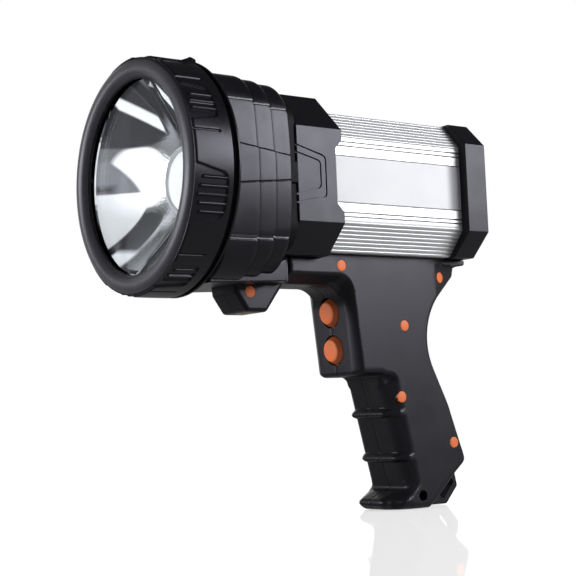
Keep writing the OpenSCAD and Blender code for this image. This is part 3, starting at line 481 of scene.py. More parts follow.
def rubber(name, colour):
    """Soft black rubber: dull, finely pitted, with a pale bloom here and there."""
    material, tree, shader, place = new_material(name, {"Roughness": 0.72, "Specular IOR Level": 0.25})
    bloom = noise(tree, place, 240.0, 4.0)
    tone = add_ramp(tree, bloom, [(0.35, shade(colour, 0.8)), (0.7, shade(colour, 1.5))])
    tree.links.new(tone, shader.inputs["Base Color"])
    add_relief(tree, shader, noise(tree, place, 3200.0), 0.4, 0.00005)
    return material


def finish_node(name, material):
    """A solid of the frame that shows as it is gets this finish."""
    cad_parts[name].data.materials.clear()
    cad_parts[name].data.materials.append(material)


black_rubber = rubber("black rubber", (0.02, 0.02, 0.021))
finish_node("lens_seal", black_rubber)

# Reflector: a thin plastic bowl, metallised to a mirror, whose rim sits behind the lens.
# The band round its throat is slightly hammered, and the rest is smooth.
rim_r, rim_s = 49.0, 8.6
bowl_s, bowl_depth, bowl_wall = 9.6, 23.5, 1.4
throat_r, board_s = 17.5, 34.6
hammered_from, hammered_to = 27.5, 33.5


def bowl_radius(t):
    return math.sqrt(rim_r ** 2 + (throat_r ** 2 - rim_r ** 2) * t)


bowl_steps = [i / 48 for i in range(49)]
bowl_profile = ([(rim_r, rim_s)] + [(bowl_radius(t), bowl_s + bowl_depth * t) for t in bowl_steps]
                + [(throat_r, board_s), (throat_r + bowl_wall, board_s)]
                + [(bowl_radius(t) + bowl_wall, bowl_s + bowl_depth * t) for t in reversed(bowl_steps[3:])]
                + [(rim_r + 0.8, shoulder_s), (lens_r, shoulder_s), (lens_r, rim_s)])
chrome, chrome_tree, chrome_shader, chrome_place = new_material(
    "metallised mirror", {"Base Color": (0.87, 0.88, 0.90, 1), "Metallic": 1.0})
bowl_rise = add_node(chrome_tree, "SeparateXYZ", {0: chrome_place}).outputs["Y"]
hammered = ranged(chrome_tree, bowl_rise, lip_y + hammered_from * MM, lip_y + hammered_to * MM)
haze = ranged(chrome_tree, hammered, 0.0, 1.0, 0.035, 0.22)
chrome_tree.links.new(haze, chrome_shader.inputs["Roughness"])
dimples = add_node(chrome_tree, "TexVoronoi", {"Vector": chrome_place, "Scale": 700.0}).outputs["Distance"]
add_relief(chrome_tree, chrome_shader, worked(chrome_tree, "MULTIPLY", dimples, hammered), 0.35, 0.0002)
make_piece("reflector_bowl", spun(bowl_profile, 256), chrome, ["reflector"])

# Light source: one large white emitter under a low silicone dome, in a white plastic ring.
# It is soldered on a round aluminium-backed board that is screwed to the heat sink behind it.
throat_s, ring_r, ring_w = 33.1, 17.4, 1.6
dome_r, dome_rise = 15.1, 1.2


def glossy_plastic(name, colour, roughness, glow=0.0):
    """Smooth white plastic or silicone, faintly clouded, with a painted glow of the given strength."""
    material, tree, shader, place = new_material(
        name, {"Roughness": roughness, "Emission Color": (*colour, 1), "Emission Strength": glow})
    cloud = noise(tree, place, 160.0, 4.0)
    tone = add_ramp(tree, cloud, [(0.3, shade(colour, 0.94)), (0.7, shade(colour, 1.03))])
    tree.links.new(tone, shader.inputs["Base Color"])
    return material


# The dome and its ring glow faintly: painted light, not a lamp.
glowing_emitter_white = glossy_plastic("white silicone", (0.93, 0.94, 0.95), 0.25, 0.4)
glowing_ring_white = glossy_plastic("white ring plastic", (0.66, 0.67, 0.69), 0.35, 0.05)
emitter_profile = ([(0, board_s), (dome_r, board_s), (dome_r, throat_s + 0.3)]
                   + arc((0, throat_s), (dome_r - 0.3, dome_rise), 0, -60, 8)
                   + [(dome_r * 0.46, throat_s - 0.62), (dome_r * 0.44, throat_s - 0.95),
                      (0, throat_s - dome_rise)])
make_piece("led_emitter_dome", spun(emitter_profile, 96), glowing_emitter_white, ["led_emitter"])
inner_r = ring_r - ring_w
ring_profile = ([(inner_r, board_s), (inner_r, throat_s - 0.6)]
                + arc((ring_r - ring_w / 2, throat_s - 0.5), (ring_w / 2, 0.5), 180, 360, 9)
                + [(ring_r, board_s)])
make_piece("led_ring_moulding", spun(ring_profile, 128), glowing_ring_white, ["led_ring"])


def circuit_board(name, colour):
    """Solder mask over copper: green, glossy, with lighter traces showing through."""
    material, tree, shader, place = new_material(name, {"Roughness": 0.35})
    traces = add_node(tree, "TexBrick", {"Vector": place, "Scale": 160.0, "Color1": (*colour, 1),
                                         "Color2": (*shade(colour, 1.35), 1),
                                         "Mortar": (*shade(colour, 0.6), 1)}).outputs
    tree.links.new(traces["Color"], shader.inputs["Base Color"])
    add_relief(tree, shader, traces["Fac"], 0.2, 0.0001)
    return material


def bare_metal(name, colour, roughness, lines, along=(1.0, 1.0, 1.0), bare=1.0):
    """Metal with fine lines along one direction and uneven gloss, bare or under a matt oxide."""
    material, tree, shader, place = new_material(name, {"Metallic": bare})
    stretched = add_node(tree, "VectorMath", {0: place, 1: along}, operation="MULTIPLY").outputs["Vector"]
    drawn = noise(tree, stretched, lines, 4.0)
    tone = add_ramp(tree, drawn, [(0.3, shade(colour, 0.93)), (0.7, shade(colour, 1.04))])
    gloss = ranged(tree, drawn, 0.0, 1.0, roughness - 0.07, roughness + 0.07)
    tree.links.new(tone, shader.inputs["Base Color"])
    tree.links.new(gloss, shader.inputs["Roughness"])
    add_relief(tree, shader, drawn, 0.12, 0.00004)
    return material


board_green = circuit_board("green solder mask", (0.05, 0.19, 0.11))
zinc_steel = bare_metal("zinc plated steel", (0.52, 0.53, 0.55), 0.36, 500.0)
finish_node("led_board", board_green)
finish_node("sink_screws", zinc_steel)

# Head shell: one black moulding with a round flange behind the bezel and three stepped rings.
# Each ring is a rounded box with bulged sides and panel lines, and a darker neck meets the collar.
flange_s, flange_t, neck_r = 26.0, 1.5, 57.0
ring_starts = (27.5, 45.5, 55.75, 66.0)
ring_sizes = ((47.0, 48.5, 53.6), (46.4, 47.3, 51.9), (45.8, 46.1, 50.2))
upper_corner, lower_corner = 17.0, 22.0
ring_lead, ring_roll = 1.0, 3.2
upper_line, lower_line = (33.6, 32.2, 30.8), (-34.5, -33.9, -32.8)
# Two lines along the side: height at the middle of the first ring and slope, then half width and depth
lines_s = 37.0
thin_line, thick_line = (10.8, -0.118, 0.36, 0.5), (-7.9, 0.1056, 0.55, 0.8)
# The rings' joints jog below the thin line, and the bulge fades in away from the middle
jog_depth, jog_start, jog_run = 0.9, 30, 34
bulge_r, bulge_z, bulge_end = 230.0, 3.0, 36.0
bulge_start, bulge_run = 17, 20
ledge_depth, ledge_rise, ledge_w, ledge_x = 0.4, 0.42, 0.6, 35


def box_section(half_w, top, low, fractions):
    """Points round a rounded box from the middle of its right side, upwards and on."""
    side, bend, crown = fractions
    quarters = []
    for height, corner in ((top, upper_corner), (low, lower_corner)):
        flat_h, flat_w = height - corner, half_w - corner
        bent = [(flat_w + corner * math.cos(a), flat_h + corner * math.sin(a)) for a in bend]
        quarters.append(np.array([(half_w, flat_h * f) for f in side] + bent
                                 + [(flat_w * (1 - f), height) for f in crown]))
    up, down = quarters[0], quarters[1] * (1, -1)
    return np.concatenate([up, (up * (-1, 1))[::-1][1:], (down * (-1, 1))[1:], down[::-1][1:-1]])


side_fractions = np.concatenate([np.linspace(0, 0.10, 4), np.linspace(0.11, 0.43, 84),
                                 np.linspace(0.46, 0.9, 10), np.linspace(0.92, 1, 22)])
bend_angles = np.radians(np.concatenate([np.linspace(0.35, 18, 56), np.linspace(20, 88, 30)]))
fractions = (side_fractions, bend_angles, np.linspace(0, 1, 8))


def ring_stations(first, last):
    """Stations of one ring with how far its edge is drawn in: a small lead and a rolled rear edge."""
    lead = [(first, 0.7, 0.7), (first + 0.15, 0.6, 0.6), (first + 0.35, 0.1, 0.1),
            (first + ring_lead, 0.0, 0.0)]
    rolled = [(last - ring_roll * (1 - math.sin(a)), 0.12 * (1 - math.cos(a)), 1.7 * (1 - math.cos(a)))
              for a in np.radians(np.linspace(0, 90, 9))]
    middle = np.arange(first + ring_lead + 0.9, last - ring_roll - 0.4, 0.9)
    return lead + [(s, 0.0, 0.0) for s in middle] + rolled


def line_cut(offset, half_width, depth):
    return depth * (1 - smooth_step(0.15 * half_width, half_width, np.abs(offset)))


def ledge_cut(below):
    """A step under a line: a short wall that looks down, and a slope back out to the side."""
    return ledge_depth * np.clip(below / ledge_rise, 0, 1) * np.clip(1 - (below - ledge_rise) / ledge_w, 0, 1)


def across_axis(flat, station):
    """Places (x, height above the axis) at a station or stations behind the lip."""
    return np.stack([flat[:, 0] * MM, lip_y + (station + 0 * flat[:, 0]) * MM, axis_z + flat[:, 1] * MM], -1)


def shell_rings():
    """The three rings as one skin, with their sides bulged and their panel lines pressed in."""
    rows = []
    for i, (half_w, top, low) in enumerate(ring_sizes):
        for s, inset_w, inset_h in ring_stations(ring_starts[i], ring_starts[i + 1]):
            x, z = box_section(half_w - inset_w, top - inset_h, low - inset_h, fractions).T
            thin, thick = [z - (line[0] + line[1] * (s - lines_s)) for line in (thin_line, thick_line)]
            cut = (ledge_cut(upper_line[i] - z) + ledge_cut(lower_line[i] - z)
                   + line_cut(thin, *thin_line[2:]) + line_cut(thick, *thick_line[2:]))
            cut = np.where(np.abs(x) > half_w - upper_corner, cut, 0)
            bulge = np.clip(z - bulge_z, -bulge_end, bulge_end) ** 2 / (2 * bulge_r)
            x = x - np.sign(x) * (cut + bulge) * np.clip((np.abs(x) - bulge_start) / bulge_run, 0, 1)
            jog = jog_depth * (1 - smooth_step(-0.25, 0.25, thin))
            jog = jog * math.sin(math.pi * np.clip((s - jog_start) / jog_run, 0, 1)) ** 0.3
            rows.append(across_axis(np.stack([x, z], -1), s + jog))
    for s, wall in ((ring_starts[3] - 1, 6.0), (ring_starts[0], 4.0)):
        rows.append(across_axis(box_section(*[size - wall for size in ring_sizes[0]], fractions), s))
    return np.concatenate(rows), grid_faces(len(rows), len(rows[0]))


def prism(outline, first, last, place, front=0.0, rear=0.0, steps=4):
    """An outline of (a, b) run from one depth to another, its end edges rounded by the given radii."""
    ring = np.array(outline, float)
    before, after = np.roll(ring, 1, 0), np.roll(ring, -1, 0)
    area = 0.5 * np.sum(ring[:, 0] * after[:, 1] - after[:, 0] * ring[:, 1])
    into = math.copysign(1.0, area)

    def normal(p, q):
        d = q - p
        return into * np.stack([-d[:, 1], d[:, 0]], -1) / np.linalg.norm(d, axis=1)[:, None]

    one, two = normal(before, ring), normal(ring, after)
    inward = (one + two) / (1 + np.sum(one * two, 1))[:, None]
    levels = [(first + front - front * math.sin(a), front - front * math.cos(a))
              for a in np.radians(np.linspace(90, 0, steps + 1))] if front else [(first, 0.0)]
    levels += [(last - rear + rear * math.sin(a), rear - rear * math.cos(a))
               for a in np.radians(np.linspace(0, 90, steps + 1))] if rear else [(last, 0.0)]
    points = np.concatenate([place(ring + inward * inset, depth) for depth, inset in levels])
    count = len(ring)
    faces = grid_faces(len(levels), count, close_rows=False)
    faces += [tuple(range(count)), tuple(range((len(levels) - 1) * count, len(levels) * count))]
    return points, faces


def rounded(corners, step=0.4):
    """A closed outline from (a, b, radius) corners, each radius turned into an arc."""
    outline, count = [], len(corners)
    for i, (a, b, radius) in enumerate(corners):
        here = Vector((a, b))
        if radius == 0:
            outline.append((a, b))
            continue
        u = (Vector(corners[i - 1][:2]) - here).normalized()
        w = (Vector(corners[(i + 1) % count][:2]) - here).normalized()
        half = u.angle(w) / 2
        middle = here + (u + w).normalized() * radius / math.sin(half)
        start, end = here + u * radius / math.tan(half), here + w * radius / math.tan(half)
        first = math.atan2(*(start - middle).yx)
        sweep = (math.atan2(*(end - middle).yx) - first + math.pi) % (2 * math.pi) - math.pi
        pieces = max(2, math.ceil(abs(sweep) * radius / step))
        outline += [(middle.x + radius * math.cos(first + sweep * k / pieces),
                     middle.y + radius * math.sin(first + sweep * k / pieces)) for k in range(pieces + 1)]
    return outline


def boxed(half_w, half_h, corner):
    return rounded([(half_w, half_h, corner), (-half_w, half_h, corner), (-half_w, -half_h, corner),
                    (half_w, -half_h, corner)])


collar_s = 72.4
flange_profile = ([(opening_r + 1, shoulder_s), (neck_r, shoulder_s), (neck_r, flange_s - 0.3),
                   (neck_r + 0.3, flange_s)]
                  + arc((bezel_r - 0.5, flange_s + 0.5), (0.5, 0.5), 270, 360, 5)
                  + arc((bezel_r - 0.5, flange_s + flange_t - 0.5), (0.5, 0.5), 0, 90, 5)
                  + [(opening_r - 5, flange_s + flange_t)])
shell = make_piece("head_shell_moulding", joined(spun(flange_profile, 240), shell_rings()),
                   black_plastic, ["head_shell"], crease=38)
# The ledges' short walls take a light grey: painted highlight lines.
ledge_highlight_plastic = moulded_plastic("painted highlight ledge plastic", (0.40, 0.40, 0.42), 0.4, 0.5)
shell.data.materials.append(ledge_highlight_plastic)
for face in shell.data.polygons:
    s, z = (face.center.y - lip_y) / MM, (face.center.z - axis_z) / MM
    ring = sum(s > start for start in ring_starts[1:3])
    on_side = abs(face.center.x) > ledge_x * MM and ring_starts[0] + 1 < s < ring_starts[3] - 0.5
    for line in (upper_line[ring], lower_line[ring]):
        if on_side and 0 < line - z < ledge_rise + 0.05:
            face.material_index = 1

shadow_plastic = moulded_plastic("dull black plastic", (0.006, 0.006, 0.007), 0.55, 0.12)
shell_end = ring_starts[3]
neck_half_w, neck_half_h, neck_corner = 41.0, 38.5, 14.0
tab_x, tab_top, tab_low, tab_corner = 42.6, 5.6, -5.4, 0.7
neck_outline = boxed(neck_half_w, neck_half_h, neck_corner)
tab_outline = rounded([(tab_x, tab_top, tab_corner), (-tab_x, tab_top, tab_corner),
                       (-tab_x, tab_low, tab_corner), (tab_x, tab_low, tab_corner)])
shell_neck = prism(neck_outline, shell_end - 2.4, collar_s, across_axis)
shell_tabs = prism(tab_outline, shell_end - 0.4, collar_s, across_axis)
make_piece("head_neck_moulding", joined(shell_neck, shell_tabs), shadow_plastic)

# Heat sink: an aluminium casting behind the light source, screwed to bosses in the shell.
# A plate carries the board, and twelve fins stand out from its core.
sink_s, sink_end, plate_t = 36.2, 56.2, 2.0
sink_half_w, sink_half_h, sink_corner = 39.0, 39.5, 24.0
core_r, fin_r, fin_half, fin_count = 16.0, 30.0, 1.0, 12


def fin_outline():
    points = []
    for turn in np.linspace(0, 2 * math.pi, fin_count, endpoint=False):
        for radius, way_round in ((core_r, -1), (fin_r, -1), (fin_r, 1), (core_r, 1)):
            angle = turn + way_round * math.asin(fin_half / radius)
            points.append((radius * math.cos(angle), radius * math.sin(angle)))
    return points


sink_outline = boxed(sink_half_w, sink_half_h, sink_corner)
sink_plate = prism(sink_outline, sink_s, sink_s + plate_t, across_axis, 0.3, 0.3)
sink_fins = prism(fin_outline(), sink_s + plate_t - 0.1, sink_end, across_axis, 0, 0.3)
cast_aluminium = bare_metal("cast aluminium", (0.66, 0.67, 0.69), 0.45, 700.0)
make_piece("heat_sink_casting", joined(sink_plate, sink_fins), cast_aluminium,
           ["heat_sink"])

# Saddle and lug: two black halves under the head, screwed together across a parting line.
# A wide slab bears the rings, a bridge meets the grip's arm, and the lug holds a brass tripod insert.
foot_drop = axis_z / MM
arm_s, arm_h = 82.0, 120.0
saddle_w, bridge_w, lug_w = 28.0, 18.5, 12.0
lug_mid, lug_h = 66.0, foot_drop - 67.0


def beside(flat, x):
    """Places (station, height above the foot) at a distance to the right of the middle."""
    return np.stack([np.full(len(flat), x * MM), lip_y + flat[:, 0] * MM, flat[:, 1] * MM], -1)


def beside_left(flat, x):
    return beside(flat, -x)


def disc_outline(radius, spot=(0, 0), count=40):
    turn = np.linspace(0, 2 * math.pi, count, endpoint=False)
    return np.array([(radius * math.cos(a), radius * math.sin(a)) for a in turn]) + np.array(spot)


def bore_x(first, last, spot, radius):
    """A round hole across the lamp at a station and height."""
    return prism(disc_outline(radius, spot), first, last, beside)


lug_plug = (lug_mid - 4.1, lug_h + 10.2)
plug_r, plug_t = 3.0, 2.0
lug_foot = Matrix.Translation((0, lip_y + lug_mid * MM, lug_h * MM))
saddle_side = [(73.5, 131.0), (73.5, 119.6), (27.6, 117.9), (27.6, 128.0), (64.0, 126.5)]
bridge_side = rounded([(arm_s - 0.15, 136.0, 0), (arm_s - 0.15, arm_h, 1.2), (60.0, arm_h, 0),
                       (60.0, 136.0, 0)])
lug_side = rounded([(80.5, 126.0, 0), (83.0, 119.7, 0), (lug_mid + 6.2, lug_h, 2.6),
                    (lug_mid - 6, lug_h, 2.6), (lug_mid - 12.5, lug_h + 9.5, 3.0), (lug_mid - 14, 126.0, 0)])
insert_len, socket_r = 7.5, 5.0
socket_hole = spun([(0, -1), (socket_r, -1), (socket_r, insert_len), (0, insert_len)], 64, lug_foot)
plug_hole = bore_x(lug_w - plug_t - 0.2, lug_w + 1, lug_plug, plug_r + 0.1)
for name, place, holes in (("right", beside, [plug_hole, socket_hole]), ("left", beside_left, [socket_hole])):
    saddle = prism(saddle_side, 0, saddle_w, place, 0, 0.7)
    bridge = prism(bridge_side, 0, bridge_w, place, 0, 1.0)
    lug = prism(lug_side, 0, lug_w, place, 0.25, 2.2)
    make_piece(f"saddle_{name}_moulding", saddle, black_plastic, [f"saddle_{name}"],
               adds=[bridge, lug], holes=holes)

thread_r, thread_pitch, thread_depth = 3.175, 1.27, 0.55


def thread_relief(radius, station, turn):
    """A single-start thread in the bore of the insert."""
    phase = (station / thread_pitch + turn / (2 * math.pi)) % 1.0
    return np.where(radius < thread_r + 0.1, thread_r - thread_depth * (1 - np.abs(2 * phase - 1)), radius)


insert_profile = ([(thread_r, s) for s in np.arange(0.3, insert_len - 0.2, 0.15)]
                  + [(4.0, insert_len), (4.9, insert_len), (4.9, 0.1), (4.6, -0.05), (4.0, -0.05)])
turned_brass = bare_metal("turned brass", (0.62, 0.45, 0.2), 0.3, 900.0, (1.0, 1.0, 0.05))
make_piece("tripod_insert", spun(insert_profile, 72, lug_foot, thread_relief), turned_brass,
           ["tripod_socket"])

# Collar: a black octagonal moulding that joins the head to the tube and is notched beside the light panels.
# Two lines on each side follow a tapered tongue shape.
collar_end, collar_w, collar_flat = 101.6, 42.0, 24.2
collar_top, collar_low = 44.7, 39.2
notch_s, notch_half, notch_wide = 97.1, 14.8, 18.6
tube_w, tube_h, tube_cw, tube_ch = 36.0, 36.5, 12.5, 15.0
edge_r = 0.8


def octagon(half_w, half_h, cut_w, cut_h, corner):
    quarter = [(half_w, half_h - cut_h), (half_w - cut_w, half_h)]
    return rounded([(x, z, corner) for x, z in quarter + [(-x, z) for x, z in reversed(quarter)]
                    + [(-x, -z) for x, z in quarter] + [(x, -z) for x, z in reversed(quarter)]], 0.3)


top_x, low_x = collar_w - (collar_top - collar_flat), collar_w - (collar_low - collar_flat)
collar_corners = [(collar_w, collar_flat), (top_x, collar_top),
                  (-top_x, collar_top), (-collar_w, collar_flat),
                  (-collar_w, -collar_flat), (-low_x, -collar_low),
                  (low_x, -collar_low), (collar_w, -collar_flat)]
collar_outline = rounded([(x, z, edge_r) for x, z in collar_corners], 0.3)


def stroke(path, half_width):
    """The outline of a line of even width along an open path."""
    line = np.array(path, float)
    step = line[1:] - line[:-1]
    step /= np.linalg.norm(step, axis=1)[:, None]
    sides = np.stack([-step[:, 1], step[:, 0]], -1)
    first, last = np.vstack([sides[:1], sides]), np.vstack([sides, sides[-1:]])
    out = (first + last) / (1 + np.sum(first * last, 1))[:, None] * half_width
    return np.concatenate([line + out, (line - out)[::-1]])


def from_axis(flat, x):
    """Places (station, height above the axis) at a distance to one side."""
    return np.stack([np.full(len(flat), x * MM), lip_y + flat[:, 0] * MM, axis_z + flat[:, 1] * MM], -1)


outer_tongue = [(70.0, 14.9), (88.3, 10.0), (90.0, 9.0), (90.4, 7.6),
                (90.4, -9.3), (90.0, -10.6), (88.4, -11.4), (70.0, -15.3)]
inner_tongue = [(70.0, 11.1), (85.6, 7.2), (86.7, 6.5), (87.1, 5.3),
                (87.1, -5.2), (86.6, -6.2), (85.6, -6.9), (70.0, -11.3)]
notch_outline = [(notch_s, notch_half - 0.6), (notch_s + 0.6, notch_half),
                 (collar_end - 1.2, notch_wide - 1.0), (collar_end - 0.4, notch_wide),
                 (collar_end + 2, notch_wide + 1.2)]
notch_outline = notch_outline + [(s, -z) for s, z in reversed(notch_outline)]
line_w, line_depth = 0.42, 0.9
tube_seat = octagon(tube_w + 0.2, tube_h + 0.2, tube_cw - 1.5, tube_ch - 1.8, 0.3)
collar_cuts = [prism(tube_seat, collar_s + 14, collar_end + 1, across_axis)]
for side in (-1, 1):
    near, far = sorted((side * (tube_w - 1), side * (collar_w + 1)))
    collar_cuts.append(prism(notch_outline, near, far, from_axis))
    near, far = sorted((side * (collar_w - line_depth), side * (collar_w + 1)))
    for path in (outer_tongue, inner_tongue):
        collar_cuts.append(prism(stroke(path, line_w), near, far, from_axis))
make_piece("collar_moulding", prism(collar_outline, collar_s, collar_end, across_axis, 0.7, 0.7),
           black_plastic, ["collar"], holes=collar_cuts)

# Tube: the battery tube, a bright aluminium extrusion with ribs along its corners.
# A channel down each side holds an LED strip under a frosted panel.
tube_s, tube_end = 87.0, 192.65
channel_x, panel_half = 31.5, 12.2
rib_h, rib_count = 0.9, 8
# Share of a rib's pitch, and its height there as a share of the whole
rib_shape = ((0.16, 0.0), (0.20, 0.6), (0.26, 0.9), (0.36, 1.0),
             (0.64, 1.0), (0.74, 0.9), (0.80, 0.6), (0.84, 0.0))
flat_lines, flat_line_w, flat_line_depth = (17.3, 19.5), 0.42, 2.2


def tube_outline():
    """Half of the section on the right, with its ribs and channel, then mirrored."""
    low, high = np.array((tube_w, tube_h - tube_ch)), np.array((tube_w - tube_cw, tube_h))
    out = np.array((tube_ch, tube_cw)) / math.hypot(tube_ch, tube_cw)
    ribs = [low + (high - low) * (i + t) / rib_count + out * rib_h * up
            for i in range(rib_count) for t, up in rib_shape]
    top = [(channel_x, panel_half), (tube_w - 0.35, panel_half), (tube_w, panel_half + 0.35)]
    floor_x, floor_w = tube_w - flat_line_depth, 0.9 * flat_line_w
    for line in flat_lines:
        top += [(tube_w, line - flat_line_w), (floor_x, line - floor_w), (floor_x, line + floor_w),
                (tube_w, line + flat_line_w)]
    top += [tuple(low)] + [tuple(p) for p in ribs] + [tuple(high)]
    quarter = np.array(top)
    return np.concatenate([quarter, (quarter * (-1, 1))[::-1], -quarter, (quarter * (1, -1))[::-1]])


aluminium = bare_metal("matt drawn aluminium", (0.68, 0.69, 0.71), 0.40, 1500.0, (1.0, 0.02, 1.0), 0.6)
make_piece("body_tube_extrusion", prism(tube_outline(), tube_s, tube_end, across_axis), aluminium,
           ["body_tube"], crease=45)

# Light panels: frosted acrylic strips that snap over the LED strips, one on each side.
# They are slightly crowned and show a soft lavender white, with painted shade past the strip's end.
panel_s, panel_end, panel_h = 97.1, 187.3, 12.0
panel_top_x, panel_floor_x = 36.3, 34.2
panel_crown, panel_edge_r = 0.1, 0.45
strip_end, end_shade_fade = panel_end - 11, 6
frosted, frosted_tree, frosted_shader, frosted_place = new_material(
    "frosted acrylic", {"Roughness": 0.6, "Specular IOR Level": 0.1, "Subsurface Weight": 0.25,
                        "Subsurface Radius": (0.004, 0.004, 0.004)})
milky = add_ramp(frosted_tree, noise(frosted_tree, frosted_place, 45.0, 4.0),
                 [(0.3, (0.79, 0.80, 0.84)), (0.7, (0.83, 0.84, 0.87))])
# Past the LED strip's end the colour darkens: painted shade.
panel_run = add_node(frosted_tree, "SeparateXYZ", {0: frosted_place}).outputs["Y"]
shade_past_strip = add_node(frosted_tree, "MapRange", {"Value": panel_run, "From Min": lip_y + strip_end * MM,
                                                 "From Max": lip_y + (strip_end + end_shade_fade) * MM},
                      interpolation_type="SMOOTHSTEP").outputs[0]
painted_end_shade = mixed(frosted_tree, shade_past_strip, milky, (0.30, 0.30, 0.33, 1))
frosted_tree.links.new(painted_end_shade, frosted_shader.inputs["Base Color"])
add_relief(frosted_tree, frosted_shader, noise(frosted_tree, frosted_place, 2600.0), 0.15, 0.00004)


def light_panel(side):
    """A strip with rounded long edges and a low crown, run along the tube."""
    edge = (panel_edge_r, panel_edge_r)
    edge_x, edge_z = panel_top_x - panel_crown - panel_edge_r, panel_h - panel_edge_r
    section = [(panel_top_x - panel_crown * (z / panel_h) ** 2, z)
               for z in np.linspace(-panel_h + 0.5, panel_h - 0.5, 15)]
    section += arc((edge_x, edge_z), edge, 10, 90, 5)
    section += [(panel_floor_x, panel_h), (panel_floor_x, -panel_h)]
    section += arc((edge_x, -edge_z), edge, 270, 350, 5)
    return prism(np.array(section) * (side, 1), panel_s, panel_end, across_axis)


make_piece("light_panel_right_strip", light_panel(1), frosted, ["light_panel_right"])
make_piece("light_panel_left_strip", light_panel(-1), frosted, ["light_panel_left"])
finish_node("led_strip_right", board_green)
finish_node("led_strip_left", board_green)

# Battery: four lithium cells in shrink sleeves between two black holders, with the driver board behind.
# They are inside the tube and don't show.
sleeve, sleeve_tree, sleeve_shader, sleeve_place = new_material("blue shrink sleeve", {"Roughness": 0.32})
crinkle = noise(sleeve_tree, sleeve_place, 220.0, 5.0)
sleeve_blue = add_ramp(sleeve_tree, crinkle, [(0.3, (0.04, 0.18, 0.36)), (0.7, (0.06, 0.24, 0.46))])
sleeve_tree.links.new(sleeve_blue, sleeve_shader.inputs["Base Color"])
add_relief(sleeve_tree, sleeve_shader, crinkle, 0.3, 0.0002)
finish_node("battery_cells", sleeve)
finish_node("cell_holder_front", black_plastic)
finish_node("cell_holder_rear", black_plastic)
finish_node("driver_board", board_green)

# Rear cap: a black octagonal moulding that closes the tube on a gasket, held by four screws.
# It carries the charging socket under a rubber flap, and four small charge lights.
cap_s, cap_end, bore_end = 187.3, 202.0, 193.6
cap_w, cap_h, cap_cut = 41.7, 37.2, 13.0
screw_at, shank_r, shank_s = (25.6, 28.0), 1.5, 178.0
head_r, head_t = 2.6, 2.0
flap_w, flap_h, flap_t = 17.0, 11.0, 2.0
flap_z, flap_gap = -12.0, 0.3
slot_half, slot_corner, slot_deep = (4.5, 1.7), 0.6, 8.7
dot_pitch, dot_z = 6.0, 6.0
dot_r, dot_len, dot_deep = 1.2, 5.0, 2.5
screw_spots = [(x * screw_at[0], z * screw_at[1]) for x in (-1, 1) for z in (-1, 1)]
dots = [((i - 1.5) * dot_pitch, dot_z) for i in range(4)]


def slab_outline(half_w, half_h, corner, middle):
    return np.array(boxed(half_w, half_h, corner)) + np.array(middle)


def distance_in(points, outline):
    """Distance inside an outline (negative outside), and the nearest side's number."""
    a, b = outline, np.roll(outline, -1, 0)
    best, index = np.full(len(points), 1e9), np.zeros(len(points), int)
    inside = np.zeros(len(points), bool)
    for k in range(len(a)):
        d, p = b[k] - a[k], points - a[k]
        t = np.clip(p @ d / (d @ d), 0, 1)
        far = np.hypot(*(p - t[:, None] * d).T)
        nearer = far < best
        best[nearer], index[nearer] = far[nearer], k
        crosses = (a[k][1] > points[:, 1]) != (b[k][1] > points[:, 1])
        if abs(d[1]) > 1e-12:
            inside ^= crosses & (points[:, 0] < a[k][0] + d[0] * (points[:, 1] - a[k][1]) / d[1])
    return np.where(inside, best, -best), index


def filled(points, edges):
    """Triangles over flat points within edges, with the points as they come out."""
    flat, _, faces, _, _, _ = delaunay_2d_cdt([Vector(p) for p in points], edges, [], 1, 1e-6)
    return np.array([tuple(p) for p in flat]), [tuple(face) for face in faces]


def pocketed(outline, depth, pockets, place):
    """A flat face with pockets: each has its outline, the depth of its floor and pockets of its own."""
    loops = [np.array(loop, float) for loop in [outline] + [pocket[0] for pocket in pockets]]
    edges = []
    for loop in loops:
        edges += [(len(edges) + i, len(edges) + (i + 1) % len(loop)) for i in range(len(loop))]
    spots, faces = filled(np.concatenate(loops), edges)
    middles = spots[np.array(faces)].mean(1)
    solid = np.ones(len(faces), bool)
    for loop in loops[1:]:
        solid &= distance_in(middles, loop)[0] < 0
    parts = [(place(spots, depth), [face for face, kept in zip(faces, solid) if kept])]
    for loop, (_, floor, inner) in zip(loops[1:], pockets):
        wall = np.concatenate([place(loop, depth), place(loop, floor)])
        parts += [(wall, grid_faces(2, len(loop), close_rows=False)), pocketed(loop, floor, inner, place)]
    return joined(*parts)


socket_slot = (slab_outline(*slot_half, slot_corner, (0, flap_z)), cap_end - slot_deep, [])
flap_seat = slab_outline(flap_w / 2 + flap_gap, flap_h / 2 + flap_gap, 0.4, (0, flap_z))
cap_pockets = [(flap_seat, cap_end - flap_t - flap_gap, [socket_slot])]
cap_pockets += [(disc_outline(head_r + 0.25, spot, 48), cap_end - head_t, []) for spot in screw_spots]
cap_pockets += [(disc_outline(dot_r + 0.08, spot, 24), cap_end - dot_deep, []) for spot in dots]
cap_outline = octagon(cap_w, cap_h, cap_cut, cap_cut, edge_r)
cap_points, cap_faces = prism(cap_outline, cap_s, cap_end, across_axis, 0.3, 0.75)
cap_count = len(cap_outline)
cap_flat = np.stack([cap_points[:, 0], cap_points[:, 2] - axis_z], -1) / MM
cap_front = pocketed(cap_flat[:cap_count], cap_s, [(tube_seat, bore_end, [])], across_axis)
cap_rear = pocketed(cap_flat[-cap_count:], cap_end, cap_pockets, across_axis)
make_piece("rear_cap_moulding", joined((cap_points, cap_faces[:-2]), cap_front, cap_rear), black_plastic,
           ["rear_cap"])
finish_node("cap_gasket", black_rubber)
finish_node("charge_socket", zinc_steel)


def along_axis(spot):
    """The lamp's axis moved to a spot of (x, height above it)."""
    return lamp_axis @ Matrix.Translation((spot[0] * MM, -spot[1] * MM, 0))


